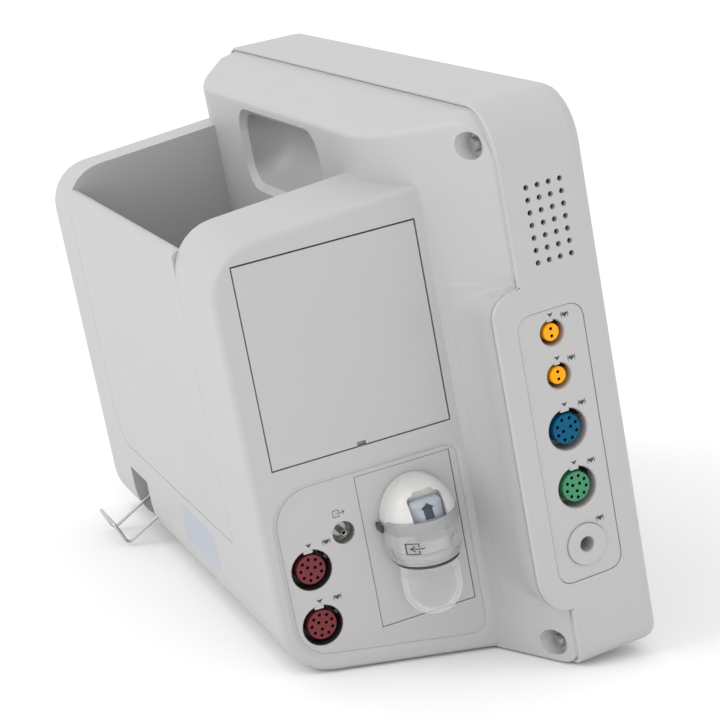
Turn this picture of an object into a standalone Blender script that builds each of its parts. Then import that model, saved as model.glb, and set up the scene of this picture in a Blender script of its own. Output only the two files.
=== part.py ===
"""A bedside patient monitor, as an assembly of separate pieces.

The monitor leans back on a flat base. Its pieces are modelled in the leaning body's own frame: X to the
right of a person who faces the screen, Y from the screen to the rear, Z up along the screen, with the origin
at the middle of the bezel's lower front edge. One empty leans that body back and stands its base on z = 0,
with the world's origin at the middle of the base. All sizes are in metres.
"""

import math
from collections import namedtuple

import bmesh
import bpy
from mathutils import Matrix, Vector

# Stance: how far the body leans, and where the table lies under it
LEAN = math.radians(10.4)
GROUND_DROP = 0.0089
FOOT_PROUD = 0.0010
BASE_CENTRE_Y = 0.110

# Fits and walls
GAP = 0.0003
SLIDE_GAP = 0.0004
SHELL = 0.003
OVERLAP = 0.001
REACH = 0.020

# Screen and the bezel round it
SCREEN_WIDTH = 0.344
SCREEN_HEIGHT = 0.194
SIDE_BORDER = 0.027
LOWER_BORDER = 0.054
UPPER_BORDER = 0.0265
BEZEL_DEPTH = 0.0439
BEZEL_DRAFT = 0.0035
BEZEL_UPPER_RADIUS = 0.026
BEZEL_LOWER_RADIUS = 0.009
BEZEL_EDGE = 0.006
FRONT_WALL = 0.004
FLANGE_THICKNESS = 0.003
FLANGE_WIDTH = 0.010
GLASS_MARGIN = 0.009
GLASS_THICKNESS = 0.0019
GLASS_RADIUS = 0.006
LCD_MARGIN = 0.004
LCD_THICKNESS = 0.007
LAMP_WIDTH = 0.090
LAMP_HEIGHT = 0.006
LAMP_DROP = 0.009
LAMP_DEPTH = 0.0055

# Keys and knob in the lower border
KEY_Z = 0.0225
KEY_WIDTH = 0.026
KEY_HEIGHT = 0.012
KEY_RADIUS = 0.003
KEY_PROUD = 0.0012
KEY_CHAMFER = 0.0006
KEY_FLANGE = 0.0013
KEY_FLANGE_THICKNESS = 0.0012
POWER_KEY_INSET = 0.044
KEY_FIRST_STEP = 0.055
KEY_PITCH = 0.038
KEY_COUNT = 4
POWER_KEY_RADIUS = 0.008
KEY_TRAVEL = 0.0008
KNOB_INSET = 0.059
KNOB_RADIUS = 0.016
KNOB_HEIGHT = 0.012
KNOB_EDGE = 0.002
KNOB_SHAFT_RADIUS = 0.003
KEY_BOARD_MARGIN = 0.015
KEY_BOARD_HEIGHT = 0.026
BOARD_THICKNESS = 0.0016
KEY_BOSS_RADIUS = 0.0020

# Chassis plate and main board behind the display
CHASSIS_Y = 0.018
CHASSIS_INSET = 0.008
CHASSIS_SIDE_GAP = 0.002
CHASSIS_NOTCH_MARGIN = 0.002
CHASSIS_RADIUS = 0.012
CHASSIS_SHEET = 0.0016
POST_RADIUS = 0.0035
POST_INSET = 0.0045
POST_RISE = 0.020
STUD_RADIUS = 0.003
STUD_HEIGHT = 0.0024
MAIN_BOARD_WIDTH = 0.220
MAIN_BOARD_HEIGHT = 0.150
MAIN_BOARD_Z = 0.145
SHIELD_WIDTH = 0.080
SHIELD_HEIGHT = 0.070
SHIELD_DEPTH = 0.010

# Patient ports on the bezel's left side
PORT_Y = 0.0313
CUFF_PORT_Z = 0.0603
LARGE_PITCH = 0.0290
MIXED_PITCH = 0.0265
SMALL_PITCH = 0.0210
LARGE_OPENING = 0.0210
LARGE_CORE = 0.0146
SMALL_OPENING = 0.0132
SMALL_CORE = 0.0084
CUFF_RING = 0.0206
CUFF_BORE = 0.0072
CUFF_PROUD = 0.0012
PORT_DEPTH = 0.0135
PORT_WALL = 0.0007
PORT_FLOOR = 0.0015
CORE_SETBACK = 0.0004
CORE_CHAMFER = 0.0005
PANEL_FRONT_Y = 0.0140
PANEL_REAR_Y = 0.0486
PANEL_FOOT_MARGIN = 0.0165
PANEL_HEAD_MARGIN = 0.0110
PANEL_RADIUS = 0.007
PANEL_THICKNESS = 0.002
PANEL_INSET = 0.0004
BULGE_DEPTH = 0.0152
BULGE_FOOT_MARGIN = 0.0129
BULGE_HEAD_MARGIN = 0.0137
BULGE_FOOT_EASE = 0.020
BULGE_HEAD_EASE = 0.0115
BULGE_REACH = 0.033

# Loudspeaker grille above the ports
GRILLE_COLUMNS = 4
GRILLE_ROWS = 7
GRILLE_PITCH_Y = 0.0059
GRILLE_PITCH_Z = 0.0059
GRILLE_HOLE = 0.0028
GRILLE_FRONT_Y = 0.0149
GRILLE_DROP = 0.0395
SPEAKER_RADIUS = 0.016
SPEAKER_MAGNET = 0.009
SPEAKER_DEPTH = 0.012
SPEAKER_MAGNET_DEPTH = 0.004
SPEAKER_RIM = 0.002

# Hump of the rear case, with the flare that meets the bezel
RIM_STEP = 0.004
RIM_DROP = 0.0025
RIM_LAND = 0.0008
FLARE_ANGLE = math.radians(33)
HUMP_Y = 0.083
HUMP_RADIUS = 0.080
HUMP_SLOPE = math.radians(11.6)
HUMP_CORNER = 0.022
HUMP_FOOT_CORNER = 0.007
HUMP_LIFT = 0.00005
CREST_RADIUS = 0.004
GRIP_WIDTH = 0.124
GRIP_HEIGHT = 0.039
GRIP_DROP = 0.0095
GRIP_DEPTH = 0.028
GRIP_RADIUS = 0.012
GRIP_BEVEL = 0.0035
SCREW_INSET = 0.0098
SCREW_DROP = 0.0146
SCREW_RISE = 0.0112
COUNTERBORE_RADIUS = 0.0066
COUNTERBORE_FLOOR = 0.0025
COUNTERBORE_WALL = 0.002
SCREW_HEAD_RADIUS = 0.0035
SCREW_HEAD_HEIGHT = 0.0025
SCREW_RADIUS = 0.0018
SCREW_LENGTH = 0.012
SCREW_BOSS_RADIUS = 0.005

# Box with the two wings and the bin between them
FLARE_REACH = 0.037
BOX_EDGE = 0.003
BOX_UPPER_RADIUS = 0.024
BOX_LOWER_RADIUS = 0.028
BOX_FALL = math.radians(4.4)
WING_CROWN = 0.0025
WING_HEADROOM = 0.0098
NEAR_WING = 0.057
FAR_WING = 0.042
BIN_FLOOR_Z = 0.100
REAR_WALL = 0.008

# Rear panel that closes the bin
REAR_PANEL_FOOT_Z = 0.0764
REAR_PANEL_DROP = 0.0085
REAR_PANEL_THICKNESS = 0.0037
REAR_PANEL_BEAD = 0.0075
REAR_PANEL_ROUND = 0.0034
REAR_PANEL_CORNER = 0.018

# Battery bay behind the door in the near wing
DOOR_MARGIN_Y = 0.0046
DOOR_WIDTH = 0.0903
DOOR_REAR_MARGIN = 0.0120
DOOR_HEIGHT = 0.0984
DOOR_SILL = 0.0125
DOOR_THICKNESS = 0.0020
DOOR_SEAM = 0.0006
DOOR_HEAD_SEAM = 0.0008
DOOR_EDGE = 0.0003
HINGE_DEPTH = 0.0042
HINGE_DROP = 0.014
HINGE_PIN_RADIUS = 0.001
KNUCKLE_RADIUS = 0.0026
KNUCKLE_LENGTH = 0.010
KNUCKLE_INSET = 0.0008
LUG_WIDTH = 0.0035
LUG_HEIGHT = 0.008
LUG_DEPTH = 0.007
NOTCH_WIDTH = 0.0045
NOTCH_HEIGHT = 0.0020
CRADLE_DEPTH = 0.044
CRADLE_WALL = 0.002
CRADLE_HEIGHT = 0.077
BATTERY_DEPTH = 0.030
BATTERY_HEADROOM = 0.004

# Module bay under the door
FASCIA_MARGIN_Y = 0.0041
FASCIA_REAR_MARGIN = 0.0086
FASCIA_FOOT_MARGIN = 0.0088
FASCIA_HEAD_MARGIN = 0.0024
FASCIA_SETBACK = 0.0012
FASCIA_BORDER = 0.0024
FASCIA_SLOPE_ENDS = (-0.5, 2.0)
FASCIA_THICKNESS = 0.0025
FASCIA_RADIUS = 0.006
FASCIA_REAR_RADIUS = 0.018
GAS_PLATE_MARGIN_Y = 0.0034
GAS_PLATE_WIDTH = 0.0488
GAS_PLATE_Z = 0.0338
GAS_PLATE_HEIGHT = 0.0773
GAS_PLATE_THICKNESS = 0.002
GAS_PLATE_SETBACK = 0.0015
GAS_MODULE_DEPTH = 0.040
GAS_MODULE_INSET = 0.002
PRESSURE_OPENING = 0.0206
PRESSURE_Y = 0.0293
PRESSURE_UPPER_Z = 0.0729
PRESSURE_PITCH = 0.0285
OUTLET_Y = 0.0103
OUTLET_Z = 0.0863
OUTLET_OPENING = 0.0113
OUTLET_DEPTH = 0.009
NIPPLE_RADIUS = 0.0015
NIPPLE_BASE = 0.0030
NIPPLE_LENGTH = 0.0075

# Water trap on the gas plate
TRAP_OFFSET = -0.0019
DOCK_WIDTH = 0.0320
DOME_WIDTH = 0.0360
DOME_REACH = 0.0242
DOME_STEP = 0.0006
TRAP_REACH = 0.0235
TRAP_FLANK = 0.006
DOCK_FOOT_Z = 0.072
DOCK_SHOULDER_Z = 0.086
DOCK_DOME = 0.020
LATCH_WIDTH = 0.0168
LATCH_FOOT_Z = 0.0783
LATCH_HEIGHT = 0.0187
LATCH_DEPTH = 0.0105
LATCH_TRAVEL = 0.0025
LATCH_SETBACK = 0.0018
LATCH_HEADROOM = 0.002
CAP_WALL = 0.0016
CAP_FOOT_Z = 0.0661
CAP_TAPER = 0.0040
CAP_TAPER_INSET = 0.0022
SEAL_SPAN = 0.0312
SEAL_REACH = 0.0238
SEAL_THICKNESS = 0.0014
SEAL_WIDTH = 0.0038
CUP_WIDTH = 0.0296
CUP_REACH = 0.0215
CUP_BACK = 0.0012
CUP_WALL = 0.0015
CUP_DROP = 0.0276
CUP_ROUND = 0.013
CUP_FLOOR_INSET = 0.0085

# Mains inlet and the bail that holds its plug
INLET_X = 0.090
INLET_Z = 0.040
INLET_RECESS_DEPTH = 0.039
INLET_RECESS_TOP_Z = 0.061
INLET_FLANGE_WIDTH = 0.030
INLET_FLANGE_HEIGHT = 0.024
INLET_FLANGE = 0.002
INLET_BODY_WIDTH = 0.026
INLET_BODY_HEIGHT = 0.019
INLET_BODY_DEPTH = 0.025
INLET_WALL = 0.0013
INLET_SOCKET_DEPTH = 0.016
INLET_PIN_WIDTH = 0.002
INLET_PIN_HEIGHT = 0.004
INLET_PIN_LENGTH = 0.013
INLET_PIN_PITCH = 0.007
INLET_EARTH_RISE = 0.004
BAIL_WIRE = 0.0019
BAIL_SPACING = 0.032
BAIL_SIDE_ROOM = 0.002
BAIL_PIVOT_Y = 0.018
BAIL_PIVOT_Z = 0.047
BAIL_LEG = 0.0405
BAIL_HANG = math.radians(28)
BAIL_YOKE = 0.0145
BAIL_YOKE_BEND = math.radians(96)
BAIL_BEND = 0.0025
BAIL_STUB = 0.0020

# Base, feet and what stands on the floor inside
FOOT_RADIUS = 0.009
FOOT_X = 0.125
FOOT_FRONT_Y = -0.053
FOOT_REAR_Y = 0.023
FOOT_RECESS = 0.0015
MOUNT_PLATE_WIDTH = 0.100
MOUNT_PLATE_LENGTH = 0.084
MOUNT_HOLE_PITCH = 0.075
MOUNT_HOLE_RADIUS = 0.00225
SUPPLY_WIDTH = 0.066
SUPPLY_LENGTH = 0.076
SUPPLY_HEIGHT = 0.036
SUPPLY_SIDE_GAP = 0.010
PUMP_RADIUS = 0.014
PUMP_LENGTH = 0.060
PUMP_X = -0.065
PUMP_Y = 0.002

# Fineness of round shapes
ARC_STEPS = 7
FINE_STEPS = 4
ROUND_SIDES = 24
SMALL_SIDES = 12
HOLE_SIDES = 8
WIRE_RESOLUTION = 2

# Sizes that follow from those above
BEZEL_HALF = SCREEN_WIDTH / 2 + SIDE_BORDER
BEZEL_HEIGHT = LOWER_BORDER + SCREEN_HEIGHT + UPPER_BORDER
DRAFT_ANGLE = math.atan2(BEZEL_DRAFT, BEZEL_DEPTH)
SCREEN_Z = LOWER_BORDER + SCREEN_HEIGHT / 2
CASE_FRONT_Y = BEZEL_DEPTH + GAP
RIM_HALF = BEZEL_HALF - RIM_STEP
RIM_Y = CASE_FRONT_Y + RIM_LAND
HUMP_TOP_Z = BEZEL_HEIGHT - RIM_DROP
CREST_Z = HUMP_TOP_Z - math.tan(HUMP_SLOPE) * (HUMP_Y - CASE_FRONT_Y)
BOX_HALF = RIM_HALF - FLARE_REACH
FLARE_FOOT_Y = RIM_Y + (RIM_HALF - BOX_HALF) * math.tan(FLARE_ANGLE)
DOOR_FRONT_Y = FLARE_FOOT_Y + DOOR_MARGIN_Y
DOOR_REAR_Y = DOOR_FRONT_Y + DOOR_WIDTH
REAR_Y = DOOR_REAR_Y + DOOR_REAR_MARGIN
GAS_PLATE_TOP_Z = GAS_PLATE_Z + GAS_PLATE_HEIGHT
FASCIA_TOP_Z = GAS_PLATE_TOP_Z + FASCIA_HEAD_MARGIN
DOOR_FOOT_Z = FASCIA_TOP_Z + DOOR_SILL
DOOR_TOP_Z = DOOR_FOOT_Z + DOOR_HEIGHT
FASCIA_FRONT_Y = FLARE_FOOT_Y + FASCIA_MARGIN_Y
FASCIA_REAR_Y = REAR_Y - FASCIA_REAR_MARGIN
GAS_PLATE_Y = FASCIA_FRONT_Y + GAS_PLATE_MARGIN_Y
WING_TOP_Z = DOOR_TOP_Z + WING_HEADROOM
WING_BEND_Y = REAR_Y - BOX_UPPER_RADIUS
BIN_NEAR_X = NEAR_WING - BOX_HALF
BIN_FAR_X = BOX_HALF - FAR_WING
PORT_PANEL_FOOT_Z = CUFF_PORT_Z - PANEL_FOOT_MARGIN
PORT_PANEL_HEAD_Z = CUFF_PORT_Z + 2 * LARGE_PITCH + MIXED_PITCH + SMALL_PITCH + PANEL_HEAD_MARGIN
BULGE_FOOT_Z = PORT_PANEL_FOOT_Z - BULGE_FOOT_MARGIN
BULGE_HEAD_Z = PORT_PANEL_HEAD_Z + BULGE_HEAD_MARGIN
BULGE_REAR_Y = BEZEL_DEPTH + BULGE_DEPTH
BULGE_INNER_X = BULGE_REACH - BEZEL_HALF
GRILLE_TOP_Z = BEZEL_HEIGHT - GRILLE_DROP
GRILLE_Z = GRILLE_TOP_Z - (GRILLE_ROWS - 1) * GRILLE_PITCH_Z / 2
GRILLE_Y = GRILLE_FRONT_Y + (GRILLE_COLUMNS - 1) * GRILLE_PITCH_Y / 2
POWER_KEY_X = POWER_KEY_INSET - BEZEL_HALF
KEY_FIRST_X = POWER_KEY_X + KEY_FIRST_STEP
KNOB_X = BEZEL_HALF - KNOB_INSET
KEY_REAR_Y = FRONT_WALL + GAP + KEY_FLANGE_THICKNESS
KEY_BOARD_Y = KEY_REAR_Y + KEY_TRAVEL + 2 * GAP
SKIN_X = -BOX_HALF
FASCIA_X = SKIN_X + FASCIA_SETBACK
GAS_PLATE_X = SKIN_X + GAS_PLATE_SETBACK
TRAP_Y = GAS_PLATE_Y + GAS_PLATE_WIDTH / 2 + TRAP_OFFSET
TRAP_BACK_X = GAS_PLATE_X - GAP
HINGE_X = SKIN_X + HINGE_DEPTH
HINGE_Z = DOOR_TOP_Z - HINGE_DROP
SEAL_TOP_Z = CAP_FOOT_Z - GAP
CUP_TOP_Z = SEAL_TOP_Z - SEAL_THICKNESS - GAP
CUP_FOOT_Z = CUP_TOP_Z - CUP_DROP
INLET_WALL_Y = REAR_Y - INLET_RECESS_DEPTH
INLET_RECESS_WIDTH = BAIL_SPACING + 2 * BAIL_SIDE_ROOM
BAIL_Y = REAR_Y - BAIL_PIVOT_Y
SCREW_X = RIM_HALF - SCREW_INSET
SCREW_HEIGHTS = (HUMP_TOP_Z - SCREW_DROP, SCREW_RISE)
FLOOR_Z = FOOT_PROUD + SHELL
FOOT_HEIGHT = FOOT_PROUD + FOOT_RECESS - GAP

Finish = namedtuple("Finish", "colour roughness metallic")
CASE_PLASTIC = Finish((0.78, 0.78, 0.77), 0.45, 0.0)
DARK_PLASTIC = Finish((0.03, 0.03, 0.035), 0.5, 0.0)
GREY_PLASTIC = Finish((0.35, 0.36, 0.37), 0.5, 0.0)
CLEAR_PLASTIC = Finish((0.85, 0.87, 0.88), 0.1, 0.0)
LATCH_PLASTIC = Finish((0.45, 0.52, 0.58), 0.4, 0.0)
ORANGE_PLASTIC = Finish((0.80, 0.35, 0.01), 0.45, 0.0)
BLUE_PLASTIC = Finish((0.01, 0.10, 0.22), 0.45, 0.0)
GREEN_PLASTIC = Finish((0.06, 0.30, 0.14), 0.45, 0.0)
MAROON_PLASTIC = Finish((0.20, 0.05, 0.06), 0.45, 0.0)
AMBER_LENS = Finish((0.70, 0.45, 0.15), 0.25, 0.0)
SCREEN_GLASS = Finish((0.02, 0.02, 0.025), 0.08, 0.0)
STEEL = Finish((0.60, 0.60, 0.58), 0.3, 1.0)
ALUMINIUM = Finish((0.70, 0.71, 0.72), 0.4, 1.0)
BOARD_GREEN = Finish((0.02, 0.16, 0.07), 0.5, 0.0)
RUBBER = Finish((0.06, 0.06, 0.06), 0.8, 0.0)

Port = namedtuple("Port", "name z opening core finish")
SPO2_PORT_Z = CUFF_PORT_Z + 2 * LARGE_PITCH
LOWER_TEMPERATURE_Z = SPO2_PORT_Z + MIXED_PITCH
PATIENT_PORTS = (
    Port("t1", LOWER_TEMPERATURE_Z + SMALL_PITCH, SMALL_OPENING, SMALL_CORE, ORANGE_PLASTIC),
    Port("t2", LOWER_TEMPERATURE_Z, SMALL_OPENING, SMALL_CORE, ORANGE_PLASTIC),
    Port("spo2", SPO2_PORT_Z, LARGE_OPENING, LARGE_CORE, BLUE_PLASTIC),
    Port("ecg", CUFF_PORT_Z + LARGE_PITCH, LARGE_OPENING, LARGE_CORE, GREEN_PLASTIC),
)
PRESSURE_PORTS = (
    Port("ibp1", PRESSURE_UPPER_Z, PRESSURE_OPENING, LARGE_CORE, MAROON_PLASTIC),
    Port("ibp2", PRESSURE_UPPER_Z - PRESSURE_PITCH, PRESSURE_OPENING, LARGE_CORE, MAROON_PLASTIC),
)

# Turns that carry an outline drawn in its own XY plane into the plane named, thickness along the third axis
PLANES = {
    "XY": Matrix.Identity(3),
    "YZ": Matrix(((0, 0, 1), (1, 0, 0), (0, 1, 0))),
    "XZ": Matrix(((1, 0, 0), (0, 0, -1), (0, 1, 0))),
}
OUTWARD_LEFT = (0.0, -math.pi / 2, 0.0)
OUTWARD_FRONT = (math.pi / 2, 0.0, 0.0)
MERGE = 0.00001


def clear_scene():
    """Remove every object and make the collections for the parts and for the cutters."""
    for item in list(bpy.data.objects):
        bpy.data.objects.remove(item, do_unlink=True)
    made = {}
    for name in ("patient_monitor", "cutters"):
        made[name] = bpy.data.collections.new(name)
        bpy.context.scene.collection.children.link(made[name])
    return made["patient_monitor"], made["cutters"]


def table_z(y):
    """Height of the table under depth y, in the leaning body's frame."""
    return math.tan(LEAN) * y - GROUND_DROP


def underside_z(y, inset=0.0):
    """Height of the case's underside at depth y, raised square to itself by inset."""
    return table_z(y) + (FOOT_PROUD + inset) / math.cos(LEAN)


def flare_y(x, inset=0.0):
    """Depth of the flared side at distance x from the middle, moved inwards by inset."""
    return RIM_Y + (RIM_HALF - x) * math.tan(FLARE_ANGLE) - inset / math.cos(FLARE_ANGLE)


def hump_top_z(y):
    """Height of the hump's sloping top at depth y."""
    return HUMP_TOP_Z - math.tan(HUMP_SLOPE) * (y - CASE_FRONT_Y)


def wing_top_z(y):
    """Height of the wings' falling top edge at depth y."""
    return WING_TOP_Z - math.tan(BOX_FALL) * (y - WING_BEND_Y)


def finished(mesh_builder):
    """Make a mesh from a bmesh with its doubles merged and its faces pointing out."""
    bmesh.ops.remove_doubles(mesh_builder, verts=mesh_builder.verts, dist=MERGE)
    bmesh.ops.recalc_face_normals(mesh_builder, faces=mesh_builder.faces)
    mesh = bpy.data.meshes.new("shape")
    mesh_builder.to_mesh(mesh)
    mesh_builder.free()
    return mesh


def merged(*meshes):
    """Several separate shapes held in one mesh, for a cutter that makes many holes."""
    builder = bmesh.new()
    for mesh in meshes:
        builder.from_mesh(mesh)
    together = bpy.data.meshes.new("shapes")
    builder.to_mesh(together)
    builder.free()
    return together


def box(low, high):
    """A box between two corners."""
    low, high = Vector(low), Vector(high)
    builder = bmesh.new()
    place = Matrix.Translation((low + high) / 2) @ Matrix.Diagonal(high - low).to_4x4()
    bmesh.ops.create_cube(builder, size=1.0, matrix=place)
    return finished(builder)


def rod(start, end, radius, sides=ROUND_SIDES):
    """A round bar from start to end."""
    start, end = Vector(start), Vector(end)
    span = end - start
    turn = span.to_track_quat("Z", "Y").to_matrix().to_4x4()
    builder = bmesh.new()
    bmesh.ops.create_cone(
        builder,
        cap_ends=True,
        segments=sides,
        radius1=radius,
        radius2=radius,
        depth=span.length,
        matrix=Matrix.Translation((start + end) / 2) @ turn,
    )
    return finished(builder)


def rounded(corners, radii, steps=ARC_STEPS):
    """The points of a closed outline whose corners are rounded by the radii given."""
    points = []
    for index, (corner, radius) in enumerate(zip(corners, radii)):
        corner = Vector(corner)
        if radius <= 0:
            points.append(tuple(corner))
            continue
        back = (Vector(corners[index - 1]) - corner).normalized()
        on = (Vector(corners[(index + 1) % len(corners)]) - corner).normalized()
        half = back.angle(on) / 2
        centre = corner + (back + on).normalized() * radius / math.sin(half)
        first = corner + back * radius / math.tan(half) - centre
        last = corner + on * radius / math.tan(half) - centre
        start = math.atan2(first.y, first.x)
        turn = math.remainder(math.atan2(last.y, last.x) - start, 2 * math.pi)
        for step in range(steps + 1):
            angle = start + turn * step / steps
            points.append((centre.x + radius * math.cos(angle), centre.y + radius * math.sin(angle)))
    return points


def rectangle(low, high, radius=0.0, steps=FINE_STEPS):
    """The outline of a rectangle with one corner radius."""
    corners = [low, (high[0], low[1]), high, (low[0], high[1])]
    return rounded(corners, [radius] * 4, steps)


def circle(centre, radius, sides=ROUND_SIDES):
    """The outline of a circle."""
    turns = [2 * math.pi * side / sides for side in range(sides)]
    return [(centre[0] + radius * math.cos(turn), centre[1] + radius * math.sin(turn)) for turn in turns]


def plate(outlines, low, high, plane):
    """A flat outline, with holes where more outlines are given, from low to high along the plane's normal."""
    curve = bpy.data.curves.new("outline", "CURVE")
    curve.dimensions = "2D"
    curve.fill_mode = "BOTH"
    curve.extrude = (high - low) / 2
    for outline in outlines:
        spline = curve.splines.new("POLY")
        spline.points.add(len(outline) - 1)
        for point, (u, v) in zip(spline.points, outline):
            point.co = (u, v, 0.0, 1.0)
        spline.use_cyclic_u = True
    holder = bpy.data.objects.new("outline", curve)
    bpy.context.scene.collection.objects.link(holder)
    evaluated = holder.evaluated_get(bpy.context.evaluated_depsgraph_get())
    mesh = bpy.data.meshes.new_from_object(evaluated)
    bpy.data.objects.remove(holder, do_unlink=True)
    builder = bmesh.new()
    builder.from_mesh(mesh)
    shift = (low + high) / 2 * (-1 if plane == "XZ" else 1)
    bmesh.ops.translate(builder, verts=builder.verts, vec=(0.0, 0.0, shift))
    bmesh.ops.transform(builder, matrix=PLANES[plane].to_4x4(), verts=builder.verts)
    return finished(builder)


def loft(rings):
    """A closed skin through rings of equal count, with a flat face at each end."""
    builder = bmesh.new()
    rows = [[builder.verts.new(point) for point in ring] for ring in rings]
    count = len(rows[0])
    for lower, upper in zip(rows, rows[1:]):
        for side in range(count):
            after = (side + 1) % count
            builder.faces.new((lower[side], lower[after], upper[after], upper[side]))
    builder.faces.new(rows[0])
    builder.faces.new(rows[-1])
    return finished(builder)


def paint(item, finish):
    """Give an object its own material."""
    material = bpy.data.materials.new(item.name + "_finish")
    material.use_nodes = True
    shader = material.node_tree.nodes["Principled BSDF"]
    shader.inputs["Base Color"].default_value = (*finish.colour, 1.0)
    shader.inputs["Roughness"].default_value = finish.roughness
    shader.inputs["Metallic"].default_value = finish.metallic
    item.data.materials.append(material)


class Workshop:
    """Holds the frames and the collections that new pieces go into."""

    def __init__(self):
        self.parts, self.cutters = clear_scene()
        self.body = self.frame("leaning_body")
        self.body.rotation_euler.x = -LEAN
        stand = Vector((0.0, BASE_CENTRE_Y, table_z(BASE_CENTRE_Y)))
        self.body.location = -(Matrix.Rotation(-LEAN, 3, "X") @ stand)
        self.base = self.frame("base_frame")
        self.port_side = self.frame("port_side", self.body)
        self.port_side.location = (-BEZEL_HALF, BEZEL_DEPTH, 0.0)
        self.port_side.rotation_euler.z = DRAFT_ANGLE

    def frame(self, name, parent=None):
        """An empty that pieces are placed in."""
        empty = bpy.data.objects.new(name, None)
        self.parts.objects.link(empty)
        empty.parent = parent
        return empty

    def part(self, name, mesh, finish, frame=None, place=(0.0, 0.0, 0.0), turn=(0.0, 0.0, 0.0)):
        """A piece of the monitor, placed in a frame."""
        item = bpy.data.objects.new(name, mesh)
        self.parts.objects.link(item)
        item.parent = frame or self.body
        item.location = place
        item.rotation_euler = turn
        paint(item, finish)
        return item

    def turned(self, name, profile, finish, frame, place, turn, sides=ROUND_SIDES):
        """A turned piece: a profile of radius and height, swept round its own Z axis."""
        mesh = bpy.data.meshes.new("profile")
        points = [(radius, 0.0, height) for radius, height in profile]
        mesh.from_pydata(points, [(index, index + 1) for index in range(len(points) - 1)], [])
        item = self.part(name, mesh, finish, frame, place, turn)
        sweep = item.modifiers.new("sweep", "SCREW")
        sweep.steps = sides
        sweep.render_steps = sides
        sweep.use_merge_vertices = True
        sweep.merge_threshold = MERGE
        return item

    def tool(self, name, mesh, frame=None):
        """A shape that cuts or joins other shapes and isn't a piece itself."""
        item = bpy.data.objects.new(name, mesh)
        self.cutters.objects.link(item)
        item.parent = frame or self.body
        item.hide_render = True
        item.display_type = "WIRE"
        return item


def combine(target, tool, operation="DIFFERENCE"):
    """Cut a tool out of a piece, or join it to the piece."""
    step = target.modifiers.new(tool.name, "BOOLEAN")
    step.operation = operation
    step.object = tool


def bezel_ring(y, inset=0.0):
    """The bezel's outline at depth y: its sides draw in towards the screen."""
    half = BEZEL_HALF - BEZEL_DRAFT * (1 - y / BEZEL_DEPTH) - inset
    corners = [(-half, inset), (half, inset), (half, BEZEL_HEIGHT - inset), (-half, BEZEL_HEIGHT - inset)]
    lower = BEZEL_LOWER_RADIUS - inset
    upper = BEZEL_UPPER_RADIUS - inset
    return [(x, y, z) for x, z in rounded(corners, [lower, lower, upper, upper])]


def bulge_outline(grow=0.0):
    """The side view of the port bulge, in Y and Z: a block whose ends are quarter ellipses."""
    depth = BULGE_DEPTH + grow
    front = BEZEL_DEPTH - FLANGE_THICKNESS - OVERLAP
    foot, foot_ease = BULGE_FOOT_Z - grow, BULGE_FOOT_EASE + grow
    head, head_ease = BULGE_HEAD_Z + grow, BULGE_HEAD_EASE + grow
    arcs = [math.pi / 2 * step / ARC_STEPS for step in range(ARC_STEPS + 1)]
    lower = [(BEZEL_DEPTH + depth * math.sin(arc), foot + foot_ease * (1 - math.cos(arc))) for arc in arcs]
    upper = [(BEZEL_DEPTH + depth * math.cos(arc), head - head_ease * (1 - math.sin(arc))) for arc in arcs]
    return [(front, foot)] + lower + upper + [(front, head)]


def screw_points():
    """Where the four case screws stand, seen from the rear."""
    return [(side * SCREW_X, z) for z in SCREW_HEIGHTS for side in (-1, 1)]


def key_places():
    """Where the function keys stand along the lower border."""
    return [KEY_FIRST_X + KEY_PITCH * index for index in range(KEY_COUNT)]


def front_rectangle(half_width, low, high, radius):
    """A rounded rectangle on the screen plane, centred on the monitor."""
    return rectangle((-half_width, low), (half_width, high), radius)


def key_board_bosses():
    """Where the key board's four bosses stand, in X."""
    half = BEZEL_HALF - BEZEL_DRAFT - KEY_BOARD_MARGIN - 2 * KEY_BOSS_RADIUS
    return [-half, -half / 3, half / 3, half]


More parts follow.
